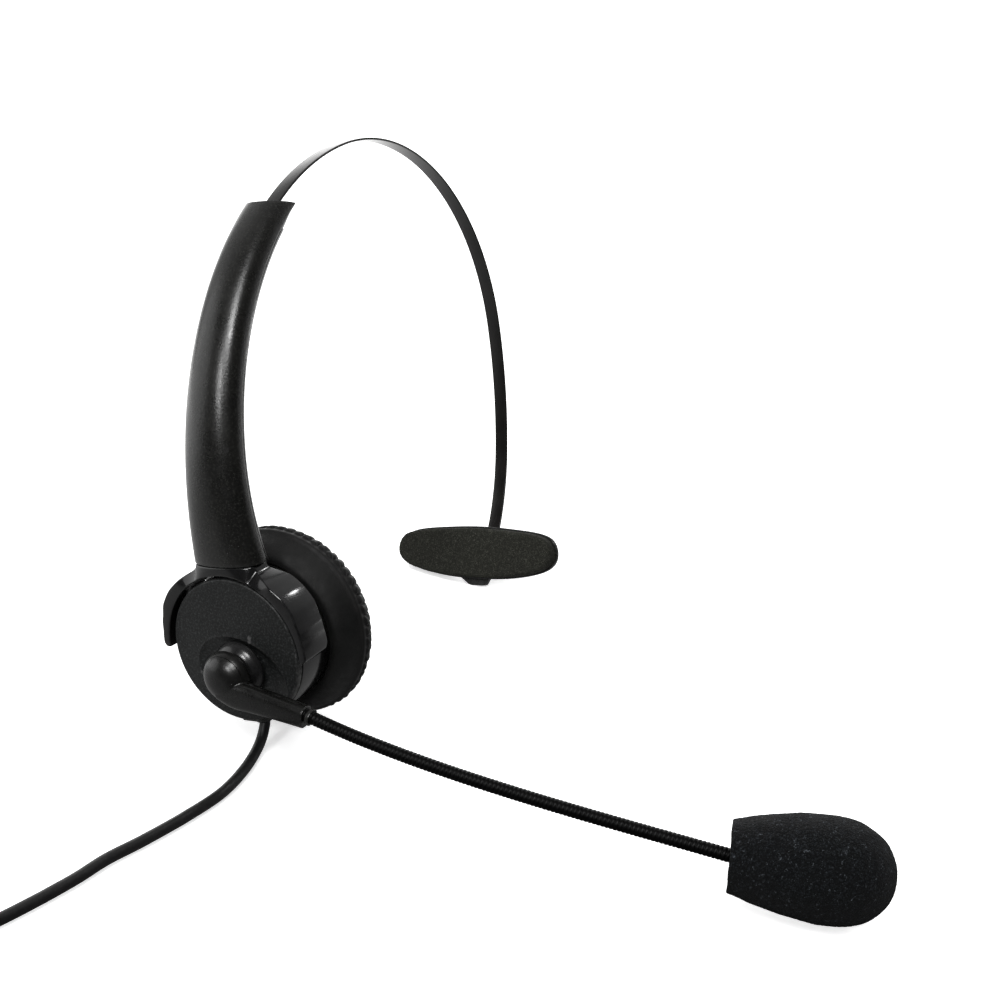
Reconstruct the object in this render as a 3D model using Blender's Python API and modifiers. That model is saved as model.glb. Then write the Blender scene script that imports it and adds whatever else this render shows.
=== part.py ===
"""Single-ear office headset with a spring-steel band, a pivoting boom microphone and a T-pad.

The part frame is the frame of the headset standing on a table. +Z is the table's normal. The
origin lies on the ear cushion's contact ring, at the ring's lowest point, +X leaves that face
towards the head and -Y is the way the boom points. The headband's plane leans back when the
headset stands, so every piece is drawn in the band's own upright frame, whose origin is the
centre of the contact ring, and hangs on one leaning empty.
"""
import math

import bmesh
import bpy
from mathutils import Matrix, Vector

MM = 0.001
GAP = 0.3 * MM

# How the headset stands: lean of the band's plane, height of the contact ring's centre over
# the part's origin, and height of the table against that centre.
LEAN = math.radians(12.0)
RING_CENTRE_Z = 18.9 * MM
TABLE_Z = -28.4 * MM

# Ear cup. Depths are counted inwards (+X) from the cover's outer face.
CUP_DEPTH = 30.0 * MM
COVER_X = -CUP_DEPTH
CUP_RADIUS = 20.4 * MM
CUP_WALL = 1.5 * MM
COVER_THICKNESS = 2.2 * MM
CUP_BACK_DEPTH = 14.4 * MM
FLANGE_RADIUS = 21.9 * MM

# Yoke: a C-shaped fork around the upper half of the cup.
YOKE_INNER_RADIUS = 21.5 * MM
YOKE_OUTER_RADIUS = 23.7 * MM
YOKE_FRONT_DEPTH = -0.9 * MM
YOKE_BACK_DEPTH = 10.0 * MM
YOKE_END_Z = -1.6 * MM
YOKE_REAR_END_Z = -0.1 * MM
TRUNNION_DEPTH = 4.55 * MM
TRUNNION_Z = 2.5 * MM
TRUNNION_RADIUS = 1.2 * MM

# Arm and band share one circle, so the strip can slide inside the arm.
BAND_CENTRE = Vector((66.4 * MM, 0.0, 35.4 * MM))
BAND_RADIUS = 92.4 * MM
ARM_BASE_Z = 24.1 * MM
ARM_MOUTH_SLOPE = math.radians(32.3)
ARM_MOUTH_CUT = math.radians(12.0)
ARM_WALL = 1.5 * MM
STRIP_WIDTH = 4.8 * MM
STRIP_THICKNESS = 0.7 * MM
STRIP_HIDDEN = 40.0 * MM
# Each later stretch of the strip: its radius and the slope at which it ends.
STRIP_ARCS = (
    (BAND_RADIUS, math.radians(8.35)),
    (72.6 * MM, math.radians(-87.5)),
    (147.5 * MM, math.radians(-106.0)),
    (75.0 * MM, math.radians(-129.0)),
)

# T-pad: centre of the foam's middle plane, tilt of its face, and outline.
TPAD_CENTRE = Vector((103.3 * MM, 0.0, -14.7 * MM))
TPAD_TILT = math.radians(18.0)
TPAD_HALF_LENGTH = 30.4 * MM
TPAD_UP = 6.0 * MM
TPAD_DOWN = 11.2 * MM
TPAD_FOAM = 4.6 * MM
TPAD_PLATE = 1.8 * MM
TPAD_PIN_BACK = 10.6 * MM
TPAD_PIN_UP = 1.5 * MM

# Boom: pivot on the cover, direction of the rigid arm, gooseneck and microphone.
PIVOT_Y = -0.9 * MM
PIVOT_Z = -5.0 * MM
HUB_RADIUS = 8.0 * MM
BULB_RADIUS = 7.3 * MM
BOOM_SLOPE = math.radians(14.0)
BOOM_END = 27.0 * MM
BOOM_MID_DEPTH = -7.5 * MM
GOOSENECK_RADIUS = 1.75 * MM
# Bezier handles of the gooseneck's centre line: depth, Y and Z.
GOOSENECK_HANDLES = (
    (-7.5 * MM, -26.4 * MM, -12.5 * MM),
    (-6.6 * MM, -60.7 * MM, -24.9 * MM),
    (2.4 * MM, -97.0 * MM, -35.6 * MM),
    (8.4 * MM, -133.0 * MM, -44.9 * MM),
)
BEND_AT = 0.42
FOAM_LENGTH = 38.6 * MM
FOAM_RADIUS = 12.7 * MM
FOAM_END_RADIUS = 8.6 * MM
FOAM_AXIS = Vector((0.251, -0.957, -0.146)).normalized()

# Cable and plug.
CABLE_RADIUS = 1.5 * MM
PLUG_LENGTH = 13.0 * MM
PLUG_WIDTH = 7.6 * MM
PLUG_HEIGHT = 6.0 * MM

SEGMENTS = 40
SMALL_SEGMENTS = 20

# Colours, roughness and metallic value of each material.
FINISHES = {
    "satin_plastic": ((0.020, 0.020, 0.021), 0.42, 0.0),
    "gloss_plastic": ((0.016, 0.016, 0.017), 0.16, 0.0),
    "spring_steel": ((0.030, 0.029, 0.028), 0.38, 1.0),
    "leatherette": ((0.018, 0.018, 0.018), 0.48, 0.0),
    "foam": ((0.013, 0.013, 0.014), 0.95, 0.0),
    "steel": ((0.55, 0.55, 0.56), 0.30, 1.0),
    "brass": ((0.62, 0.47, 0.22), 0.30, 1.0),
    "white_plastic": ((0.62, 0.62, 0.58), 0.45, 0.0),
    "board_green": ((0.03, 0.16, 0.07), 0.45, 0.0),
    "cable_jacket": ((0.016, 0.016, 0.017), 0.50, 0.0),
    "clear_plastic": ((0.62, 0.66, 0.68), 0.12, 0.0),
    "felt": ((0.05, 0.05, 0.05), 0.95, 0.0),
    "diaphragm_film": ((0.45, 0.40, 0.28), 0.35, 0.0),
}


# ---------------------------------------------------------------- scene and helpers

def clear_scene():
    for obj in list(bpy.data.objects):
        bpy.data.objects.remove(obj, do_unlink=True)


def new_collection(name):
    collection = bpy.data.collections.new(name)
    bpy.context.scene.collection.children.link(collection)
    return collection


def make_materials():
    made = {}
    for name, (colour, roughness, metallic) in FINISHES.items():
        material = bpy.data.materials.new(name)
        material.use_nodes = True
        shader = material.node_tree.nodes["Principled BSDF"]
        shader.inputs["Base Color"].default_value = (*colour, 1.0)
        shader.inputs["Roughness"].default_value = roughness
        shader.inputs["Metallic"].default_value = metallic
        made[name] = material
    return made


def add_axis(name, place, parent=None):
    """An empty on a joint's axis, at a place given in the band's frame."""
    empty = bpy.data.objects.new(name, None)
    empty.empty_display_size = 5 * MM
    PARTS.objects.link(empty)
    empty.parent = parent
    empty.location = Vector(place) - (PLACES[parent.name] if parent else Vector())
    PLACES[name] = Vector(place)
    return empty


def hang(obj, axis):
    """Parent a piece drawn in the band's frame to the empty of the body it moves with."""
    obj.parent = axis
    obj.location = Vector(obj.location) - PLACES[axis.name]
    return obj


def add_mesh(name, mesh, finish, axis, smooth=math.radians(35)):
    """Put a mesh in the model, with its material, hanging on its axis."""
    obj = bpy.data.objects.new(name, mesh)
    PARTS.objects.link(obj)
    obj.data.materials.clear()
    obj.data.materials.append(MATERIALS[finish])
    obj.data.shade_smooth()
    obj.data.set_sharp_from_angle(angle=smooth)
    return hang(obj, axis)


def mesh_from(build, name):
    """Run a bmesh builder and return its mesh with outward faces."""
    bm = bmesh.new()
    build(bm)
    bmesh.ops.recalc_face_normals(bm, faces=bm.faces)
    mesh = bpy.data.meshes.new(name)
    bm.to_mesh(mesh)
    bm.free()
    return mesh


def loft_mesh(name, rings, closed=False):
    """Skin a row of closed rings that have the same number of points."""
    def build(bm):
        rows = [[bm.verts.new(point) for point in ring] for ring in rings]
        pairs = list(zip(rows, rows[1:]))
        if closed:
            pairs.append((rows[-1], rows[0]))
        for low, high in pairs:
            for i in range(len(low)):
                j = (i + 1) % len(low)
                bm.faces.new((low[i], low[j], high[j], high[i]))
        if not closed:
            bm.faces.new(list(reversed(rows[0])))
            bm.faces.new(rows[-1])
    return mesh_from(build, name)


def box_mesh(name, low, high):
    """A box between two corners."""
    low, high = Vector(low), Vector(high)
    size = high - low

    def build(bm):
        bmesh.ops.create_cube(bm, size=1.0)
        bmesh.ops.scale(bm, vec=size, verts=bm.verts)
        bmesh.ops.translate(bm, vec=(low + high) / 2, verts=bm.verts)
    return mesh_from(build, name)


def rod_mesh(name, start, end, radius, segments=SMALL_SEGMENTS, end_radius=None):
    """A cylinder or cone between two points."""
    start, end = Vector(start), Vector(end)
    axis = end - start
    top = radius if end_radius is None else end_radius
    turn = Vector((0, 0, 1)).rotation_difference(axis).to_matrix().to_4x4()

    def build(bm):
        bmesh.ops.create_cone(bm, cap_ends=True, segments=segments, radius1=radius,
                              radius2=top, depth=axis.length)
        bmesh.ops.transform(bm, matrix=Matrix.Translation((start + end) / 2) @ turn,
                            verts=bm.verts)
    return mesh_from(build, name)


def turned(name, profile, finish, axis, origin, along, segments=SEGMENTS, loop=False):
    """Turn a profile of (radius, distance along the axis) points about a line.

    The profile runs down its outer side; a closed loop goes on up its inner side.
    """
    mesh = bpy.data.meshes.new(name)
    points = [(radius, 0.0, height) for radius, height in profile]
    edges = [(i, i + 1) for i in range(len(points) - 1)]
    if loop:
        edges.append((len(points) - 1, 0))
    mesh.from_pydata(points, edges, [])
    obj = bpy.data.objects.new(name, mesh)
    PARTS.objects.link(obj)
    obj.data.materials.append(MATERIALS[finish])
    obj.location = origin
    obj.rotation_mode = "QUATERNION"
    obj.rotation_quaternion = Vector((0, 0, 1)).rotation_difference(Vector(along))
    screw = obj.modifiers.new("turn", "SCREW")
    screw.axis = "Z"
    screw.steps = segments
    screw.render_steps = segments
    screw.use_merge_vertices = True
    screw.merge_threshold = 0.00001
    screw.use_smooth_shade = True
    return hang(obj, axis)


def bake(obj):
    """Replace an object's mesh by its evaluated one, so it can be cut again cleanly."""
    bpy.context.view_layer.update()
    evaluated = obj.evaluated_get(bpy.context.evaluated_depsgraph_get())
    mesh = bpy.data.meshes.new_from_object(evaluated)
    bm = bmesh.new()
    bm.from_mesh(mesh)
    bmesh.ops.remove_doubles(bm, verts=bm.verts, dist=0.000002)
    bmesh.ops.dissolve_degenerate(bm, edges=bm.edges, dist=0.000002)
    bm.to_mesh(mesh)
    bm.free()
    obj.modifiers.clear()
    obj.data = mesh
    mesh.shade_smooth()
    mesh.set_sharp_from_angle(angle=math.radians(35))
    return obj


def add_cutter(name, mesh):
    cutter = bpy.data.objects.new(name, mesh)
    CUTTERS.objects.link(cutter)
    cutter.parent = FRAME
    cutter.hide_render = True
    cutter.display_type = "WIRE"
    return cutter


def boolean(obj, meshes, operation):
    """Cut or join an object with meshes drawn in the band's frame."""
    for number, mesh in enumerate(meshes):
        cutter = add_cutter(f"{obj.name}_{operation.lower()}_{number}", mesh)
        modifier = obj.modifiers.new(cutter.name, "BOOLEAN")
        modifier.operation = operation
        modifier.object = cutter
        modifier.solver = "EXACT"
        bake(obj)
    return obj


def cut(obj, *meshes):
    return boolean(obj, meshes, "DIFFERENCE")


def join(obj, *meshes):
    return boolean(obj, meshes, "UNION")


def tube(name, points, radius, finish, axis):
    """A round wire along points, made a mesh with welded caps."""
    curve = bpy.data.curves.new(name, "CURVE")
    curve.dimensions = "3D"
    curve.bevel_depth = radius
    curve.bevel_resolution = 2
    curve.use_fill_caps = True
    spline = curve.splines.new("POLY")
    spline.points.add(len(points) - 1)
    for target, point in zip(spline.points, points):
        target.co = (*point, 1.0)
    wire = bpy.data.objects.new(name + "_curve", curve)
    PARTS.objects.link(wire)
    bpy.context.view_layer.update()
    evaluated = wire.evaluated_get(bpy.context.evaluated_depsgraph_get())
    mesh = bpy.data.meshes.new_from_object(evaluated)
    bm = bmesh.new()
    bm.from_mesh(mesh)
    bmesh.ops.remove_doubles(bm, verts=bm.verts, dist=0.00001)
    bm.to_mesh(mesh)
    bm.free()
    bpy.data.objects.remove(wire, do_unlink=True)
    return add_mesh(name, mesh, finish, axis)


def signed_power(value, exponent):
    return math.copysign(abs(value) ** exponent, value)


def depth(value):
    """X of a plane at a depth behind the cover's outer face."""
    return COVER_X + value


def cup_point(value, y=0.0, z=0.0):
    return Vector((depth(value), y, z))


def smooth_path(points, steps):
    """Catmull-Rom curve through points."""
    path = []
    padded = [2 * points[0] - points[1], *points, 2 * points[-1] - points[-2]]
    for a, b, c, d in zip(padded, padded[1:], padded[2:], padded[3:]):
        for i in range(steps):
            t = i / steps
            path.append(0.5 * (2 * b + (c - a) * t + (2 * a - 5 * b + 4 * c - d) * t ** 2
                               + (3 * b - a - 3 * c + d) * t ** 3))
    path.append(points[-1])
    return path


# ---------------------------------------------------------------- ear cup

def dish_cutter():
    """A shallow oval scoop in the cover, around the boom's pivot."""
    half_long, half_short, sag = 14.8 * MM, 10.5 * MM, 1.3 * MM
    flat_share = 0.72
    centre = cup_point(0.0, -1.25 * MM, -7.0 * MM)
    long_axis = Vector((0.0, math.cos(math.radians(18.6)), math.sin(math.radians(18.6))))
    short_axis = Vector((0.0, -long_axis.z, long_axis.y))
    rings = []
    for x, share in ((-1.0 * MM, 1.07), (0.0, 1.0), (0.55 * sag, 0.9), (sag, flat_share)):
        ring = []
        for i in range(SEGMENTS):
            angle = 2 * math.pi * i / SEGMENTS
            ring.append(centre + Vector((x, 0, 0))
                        + long_axis * (half_long * share * math.cos(angle))
                        + short_axis * (half_short * share * math.sin(angle)))
        rings.append(ring)
    return loft_mesh("dish", rings)


def pivot_rod(name, low, high, radius, segments=32):
    """A rod on the boom pivot's axis between two depths."""
    return rod_mesh(name, cup_point(low, PIVOT_Y, PIVOT_Z), cup_point(high, PIVOT_Y, PIVOT_Z),
                    radius, segments)


def make_cover():
    edge = 0.45 * MM
    profile = [
        (0.0, 0.0), (CUP_RADIUS - edge, 0.0), (CUP_RADIUS - 0.3 * edge, -0.3 * edge),
        (CUP_RADIUS, -edge), (CUP_RADIUS, -COVER_THICKNESS),
        (CUP_RADIUS - CUP_WALL - GAP, -COVER_THICKNESS),
        (CUP_RADIUS - CUP_WALL - GAP, -COVER_THICKNESS - 0.8 * MM),
        (CUP_RADIUS - 2 * CUP_WALL, -COVER_THICKNESS - 0.8 * MM),
        (CUP_RADIUS - 2 * CUP_WALL, -COVER_THICKNESS), (0.0, -COVER_THICKNESS),
    ]
    cover = turned("cup_cover", profile, "satin_plastic", TILT_AXIS, cup_point(0.0), (-1, 0, 0))
    bake(cover)
    cut(cover, dish_cutter(), pivot_rod("shaft_hole", -3 * MM, 6 * MM, 4.2 * MM))
    return cover


def make_cup_body():
    inner = CUP_RADIUS - CUP_WALL
    front = COVER_THICKNESS + GAP
    profile = [
        (CUP_RADIUS, -front), (CUP_RADIUS, -CUP_BACK_DEPTH),
        (inner, -CUP_BACK_DEPTH), (inner, -front),
    ]
    body = turned("cup_body", profile, "gloss_plastic", TILT_AXIS, cup_point(0.0), (-1, 0, 0),
                  loop=True)
    bake(body)
    # Three ribs stand inside the wall and take the baffle's screws.
    bosses = []
    for y, z in baffle_screw_places():
        bosses.append(rod_mesh("boss", cup_point(9.0 * MM, y, z),
                               cup_point(CUP_BACK_DEPTH - 0.4 * MM, y, z), 2.1 * MM, 12))
    join(body, *bosses)
    pilot_holes = [rod_mesh("pilot", cup_point(10.0 * MM, y, z), cup_point(20.0 * MM, y, z),
                            1.1 * MM, 12) for y, z in baffle_screw_places()]
    pins = [rod_mesh("pin_hole", cup_point(TRUNNION_DEPTH, side * 17 * MM, TRUNNION_Z),
                     cup_point(TRUNNION_DEPTH, side * 24 * MM, TRUNNION_Z),
                     TRUNNION_RADIUS + GAP, 16) for side in (-1, 1)]
    outlet = rod_mesh("outlet", cable_exit() + Vector((0, 0, 6 * MM)),
                      cable_exit() - Vector((0, 0, 3 * MM)), CABLE_RADIUS + 0.6 * MM, 16)
    cut(body, *pilot_holes, *pins, outlet)
    return body


def baffle_screw_places():
    radius = 17.1 * MM
    return [(radius * math.cos(a), radius * math.sin(a))
            for a in (math.radians(90), math.radians(210), math.radians(330))]


def make_trunnions():
    """Two steel pins fixed in the cup; the yoke's blind holes turn on them."""
    for side, name in ((-1, "trunnion_pin_front"), (1, "trunnion_pin_rear")):
        start = cup_point(TRUNNION_DEPTH, side * 18.2 * MM, TRUNNION_Z)
        end = cup_point(TRUNNION_DEPTH, side * 22.4 * MM, TRUNNION_Z)
        add_mesh(name, rod_mesh(name, start, end, TRUNNION_RADIUS, 16), "steel", TILT_AXIS)


def make_baffle():
    """The front plate that carries the driver and the cushion's skirt."""
    front, back = CUP_BACK_DEPTH + GAP, CUP_BACK_DEPTH + 2.7 * MM
    ring_end = front - 1.8 * MM
    profile = [
        (0.0, -front), (13.8 * MM, -front), (13.8 * MM, -ring_end), (14.7 * MM, -ring_end),
        (14.7 * MM, -front), (CUP_RADIUS - GAP, -front), (CUP_RADIUS - GAP, -front - 1.2 * MM),
        (FLANGE_RADIUS - 0.4 * MM, -front - 1.2 * MM), (FLANGE_RADIUS, -front - 1.5 * MM),
        (FLANGE_RADIUS, -back), (0.0, -back),
    ]
    baffle = turned("speaker_baffle", profile, "satin_plastic", TILT_AXIS, cup_point(0.0),
                    (-1, 0, 0))
    bake(baffle)
    holes = [rod_mesh("port", cup_point(front - 1 * MM), cup_point(back + 1 * MM), 1.1 * MM, 10)]
    for ring_radius, count in ((3.9 * MM, 6), (7.8 * MM, 10)):
        for i in range(count):
            angle = 2 * math.pi * i / count
            y, z = ring_radius * math.cos(angle), ring_radius * math.sin(angle)
            holes.append(rod_mesh("port", cup_point(front - 1 * MM, y, z),
                                  cup_point(back + 1 * MM, y, z), 1.1 * MM, 8))
    for y, z in baffle_screw_places():
        holes.append(rod_mesh("screw_hole", cup_point(front - 3 * MM, y, z),
                              cup_point(back + 1 * MM, y, z), 1.15 * MM, 12))
    cut(baffle, *holes)
    return baffle


def make_baffle_screws():
    head_top = CUP_BACK_DEPTH + 3.9 * MM
    head_base = CUP_BACK_DEPTH + 2.7 * MM + GAP
    for number, (y, z) in enumerate(baffle_screw_places(), 1):
        profile = [(0.0, 0.0), (1.9 * MM, 0.0), (1.9 * MM, head_base - head_top),
                   (0.75 * MM, head_base - head_top), (0.75 * MM, -7.0 * MM), (0.0, -7.4 * MM)]
        turned(f"baffle_screw_{number}", profile, "steel", TILT_AXIS, cup_point(head_top, y, z),
               (1, 0, 0), 12)


def make_driver():
    """The speaker: a basket clipped in the baffle's ring, with magnet, cup and diaphragm."""
    front = CUP_BACK_DEPTH + GAP
    rim = front - 0.5 * MM
    turned("driver_frame", [
        (13.5 * MM, -rim + 1.9 * MM), (13.5 * MM, -rim), (12.2 * MM, -rim),
        (12.2 * MM, -rim + 1.0 * MM), (6.4 * MM, -rim + 2.6 * MM), (6.4 * MM, -rim + 3.4 * MM),
    ], "white_plastic", TILT_AXIS, cup_point(0.0), (-1, 0, 0), 28, loop=True)
    turned("driver_diaphragm", [
        (0.0, 0.25 * MM), (4.0 * MM, 0.0), (5.2 * MM, -0.5 * MM), (9.0 * MM, -0.2 * MM),
        (11.8 * MM, -0.7 * MM), (11.8 * MM, -0.95 * MM), (9.0 * MM, -0.45 * MM),
        (5.2 * MM, -0.75 * MM), (4.0 * MM, -0.25 * MM), (0.0, 0.0),
    ], "diaphragm_film", TILT_AXIS, cup_point(rim - 0.9 * MM), (-1, 0, 0), 20)
    turned("driver_magnet", [
        (0.0, 2.0 * MM), (6.0 * MM, 2.0 * MM), (6.0 * MM, 0.0), (0.0, 0.0),
    ], "steel", TILT_AXIS, cup_point(rim - 2.3 * MM), (-1, 0, 0), 28)
    turned("driver_back_cup", [
        (0.0, 1.0 * MM), (7.6 * MM, 1.0 * MM), (7.6 * MM, -0.8 * MM), (6.7 * MM, -0.8 * MM),
        (6.7 * MM, 0.0), (0.0, 0.0),
    ], "steel", TILT_AXIS, cup_point(rim - 2.3 * MM - 2.3 * MM), (-1, 0, 0), 28)


def make_terminal_board():
    """The small board where the cable, the driver and the boom's leads meet."""
    low = cup_point(8.0 * MM, -5.0 * MM, -16.2 * MM)
    high = cup_point(9.0 * MM, 5.0 * MM, -9.6 * MM)
    add_mesh("terminal_board", box_mesh("terminal_board", low, high), "board_green", TILT_AXIS)


def make_cushion():
    """A foam ring inside a leatherette cover whose skirt wraps the baffle's flange."""
    outer = [
        (20.7, 14.7), (22.4, 14.9), (24.5, 17.0), (27.1, 21.8), (27.8, 23.2), (27.4, 25.2),
        (25.7, 27.8), (23.7, 29.4), (21.4, 30.0), (16.4, 30.0), (13.9, 29.1), (12.2, 27.0),
        (11.5, 24.4), (11.5, 19.4),
    ]
    inner = [
        (12.3, 19.4), (12.3, 24.3), (12.9, 26.6), (14.4, 28.5), (16.5, 29.2), (21.3, 29.2),
        (23.3, 28.7), (25.1, 27.3), (26.6, 25.0), (27.0, 23.4), (26.4, 22.2), (23.9, 17.6),
        (22.1, 15.6), (20.7, 15.5),
    ]
    # The skirt's lip reaches behind the baffle's flange, so the cushion stays on.
    profile = [(r * MM, -(d * MM)) for r, d in outer + inner]
    turned("ear_cushion_cover", profile, "leatherette", TILT_AXIS, cup_point(0.0), (-1, 0, 0), 32,
           loop=True)
    foam = [
        (23.6, 18.5), (26.0, 22.6), (26.6, 23.5), (26.2, 24.8), (24.8, 26.9), (23.1, 28.2),
        (21.2, 28.8), (16.6, 28.8), (14.7, 28.1), (13.3, 26.4), (12.7, 24.2), (12.7, 18.5),
    ]
    turned("ear_cushion_foam", [(r * MM, -(d * MM)) for r, d in foam], "foam", TILT_AXIS,
           cup_point(0.0), (-1, 0, 0), 28, loop=True)
    turned("speaker_felt", [
        (0.0, -17.5 * MM), (11.0 * MM, -17.5 * MM), (11.0 * MM, -18.1 * MM), (0.0, -18.1 * MM),
    ], "felt", TILT_AXIS, cup_point(0.0), (-1, 0, 0), 28)


# ---------------------------------------------------------------- yoke

def arm_section(width, out, inwards, lowest, highest, count):
    """Points (y, n) of the arm's D-shaped section between two angles; n counts outwards."""
    points = []
    for i in range(count):
        angle = math.radians(lowest + (highest - lowest) * i / (count - 1))
        bulge = 2.2 if math.sin(angle) >= 0 else 3.0
        reach = out if math.sin(angle) >= 0 else inwards
        points.append((width * signed_power(math.cos(angle), 2 / bulge),
                       reach * signed_power(math.sin(angle), 2 / bulge)))
    return points


def make_yoke():
    back, front = depth(YOKE_BACK_DEPTH), depth(YOKE_FRONT_DEPTH)
    axis_x = (back + front) / 2
    ring = rod_mesh("yoke", (front, 0, 0), (back, 0, 0), YOKE_OUTER_RADIUS, 72)
    yoke = add_mesh("yoke", ring, "gloss_plastic", FRAME)
    neck_rings = []
    half = (back - front) / 2
    for z, width, swell in ((17.0, 16.6, 1.0), (18.6, 15.0, 1.0), (20.4, 13.1, 0.99),
                            (22.0, 11.8, 0.98), (ARM_BASE_Z / MM - 0.3, 11.0, 0.97)):
        section = arm_section(width * MM, half * swell, half * swell, 0, 348.75, 32)
        neck_rings.append([Vector((axis_x - n, y, z * MM)) for y, n in section])
    stub_low = Vector((axis_x - 2.4 * MM, -6.2 * MM, 21.0 * MM))
    stub_high = Vector((axis_x + 2.0 * MM, 6.2 * MM, 30.0 * MM))
    join(yoke, loft_mesh("neck", neck_rings), box_mesh("stub", stub_low, stub_high))
    bore = rod_mesh("bore", (front - 5 * MM, 0, 0), (back + 5 * MM, 0, 0),
                    YOKE_INNER_RADIUS, 72)
    reach = 40 * MM
    below = [box_mesh("below", (front - reach, -reach, -reach), (back + reach, 0, YOKE_END_Z)),
             box_mesh("below", (front - reach, -1 * MM, -reach),
                      (back + reach, reach, YOKE_REAR_END_Z))]
    # Each leg's outer edge is taken off at its end.
    for side, end in ((-1, YOKE_END_Z), (1, YOKE_REAR_END_Z)):
        start = Vector((0, side * (YOKE_OUTER_RADIUS + 0.4 * MM), end + 2.2 * MM))
        corner = Vector((0, side * (YOKE_OUTER_RADIUS - 1.2 * MM), end - 0.4 * MM))
        away = Vector((0, side * 4 * MM, -4 * MM))
        below.append(loft_mesh("leg_end", [
            [Vector((x, 0, 0)) + p for p in (start, corner, start + away)]
            for x in (front - reach, back + reach)]))
    pins = [rod_mesh("pin_bore", cup_point(TRUNNION_DEPTH, side * 18 * MM, TRUNNION_Z),
                     cup_point(TRUNNION_DEPTH, side * 22.8 * MM, TRUNNION_Z),
                     TRUNNION_RADIUS + GAP, 16) for side in (-1, 1)]
    cut(yoke, bore, *below, *pins)
    return yoke


# ---------------------------------------------------------------- arm

def band_point(slope, outwards=0.0, y=0.0):
    """A point on the arm's circle where the band's tangent has the given slope."""
    radius = BAND_RADIUS + outwards
    return BAND_CENTRE + Vector((-radius * math.sin(slope), y, radius * math.cos(slope)))


def arm_slope(share, outwards):
    """Slope at a share of the arm's length; base and mouth are cut by flat planes."""
    radius = BAND_RADIUS + outwards
    base = math.acos((ARM_BASE_Z - BAND_CENTRE.z) / radius)
    mouth_distance = BAND_RADIUS * math.cos(ARM_MOUTH_SLOPE + ARM_MOUTH_CUT)
    mouth = math.acos(mouth_distance / radius) - ARM_MOUTH_CUT
    return base + (mouth - base) * share


def arm_half_width(share):
    return (6.9 + 1.0 * (1 - share) + 3.1 * math.exp(-share / 0.25)) * MM


def arm_reach(share):
    """How far the section reaches outwards and inwards from the band's circle."""
    return (5.5 - 0.9 * share) * MM, (5.3 - 1.1 * share) * MM


def arm_ring(share, lowest, highest, wall, count=14):
    """A C-shaped wall section of the arm between two angles."""
    width = arm_half_width(share)
    out, inwards = arm_reach(share)
    outside = arm_section(width, out, inwards, lowest, highest, count)
    inside = arm_section(width - wall, out - wall, inwards - wall, highest, lowest, count)
    return [band_point(arm_slope(share, n), n, y) for y, n in outside + inside]


def screw_line(slope, start, end):
    """A line through the arm, towards the band's centre, between two outward offsets."""
    return band_point(slope, start), band_point(slope, end)


ARM_SCREW_SLOPES = (math.radians(72.0), math.radians(88.0))


def make_arm():
    shares = [i / 13 for i in range(14)]
    shell = add_mesh("arm_outer_shell",
                     loft_mesh("arm_outer_shell",
                               [arm_ring(s, -10, 190, ARM_WALL) for s in shares]),
                     "satin_plastic", FRAME)
    bosses = [rod_mesh("boss", *screw_line(s, 4.6 * MM, -2.2 * MM), 2.4 * MM, 16)
              for s in ARM_SCREW_SLOPES]
    pilots = [rod_mesh("pilot", *screw_line(s, 3.2 * MM, -6 * MM), 1.15 * MM, 12)
              for s in ARM_SCREW_SLOPES]
    join(shell, *bosses)
    cut(shell, *pilots)
    cover = add_mesh("arm_inner_cover",
                     loft_mesh("arm_inner_cover",
                               [arm_ring(s, 195, 345, ARM_WALL, 10) for s in shares]),
                     "satin_plastic", FRAME)
    heads = [rod_mesh("head", *screw_line(s, -4.1 * MM, -9 * MM), 2.3 * MM, 16)
             for s in ARM_SCREW_SLOPES]
    shafts = [rod_mesh("shaft", *screw_line(s, 0, -9 * MM), 1.15 * MM, 12)
              for s in ARM_SCREW_SLOPES]
    cut(cover, *heads, *shafts)
    for number, slope in enumerate(ARM_SCREW_SLOPES, 1):
        origin = band_point(slope, -4.4 * MM)
        inward = (BAND_CENTRE - origin).normalized()
        profile = [(0.0, 0.7 * MM), (1.6 * MM, 0.7 * MM), (1.95 * MM, 0.3 * MM), (1.95 * MM, 0.0),
                   (0.8 * MM, 0.0), (0.8 * MM, -6.2 * MM), (0.0, -6.8 * MM)]
        turned(f"arm_screw_{number}", profile, "steel", FRAME, origin, inward, 14)


def strip_rings(slope_from, slope_to, arcs, width, thickness, step=math.radians(4.2)):
    """Rectangular sections along the strip's arcs, from one slope down to another."""
    rings = []
    centre, start = BAND_CENTRE.copy(), slope_from
    previous_radius = BAND_RADIUS
    for radius, end in arcs:
        outward = Vector((-math.sin(start), 0, math.cos(start)))
        centre = centre + outward * (previous_radius - radius)
        stop = max(end, slope_to)
        count = max(1, math.ceil((start - stop) / step))
        for i in range(count + (stop == slope_to)):
            slope = start + (stop - start) * i / count
            outward = Vector((-math.sin(slope), 0, math.cos(slope)))
            ring = []
            for side, rise in ((-1, -1), (1, -1), (1, 1), (-1, 1)):
                ring.append(centre + outward * (radius + rise * thickness / 2)
                            + Vector((0, side * width / 2, 0)))
            rings.append(ring)
        previous_radius, start = radius, stop
        if stop == slope_to:
            break
    return rings


def strip_start_slope():
    return ARM_MOUTH_SLOPE + STRIP_HIDDEN / BAND_RADIUS


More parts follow.
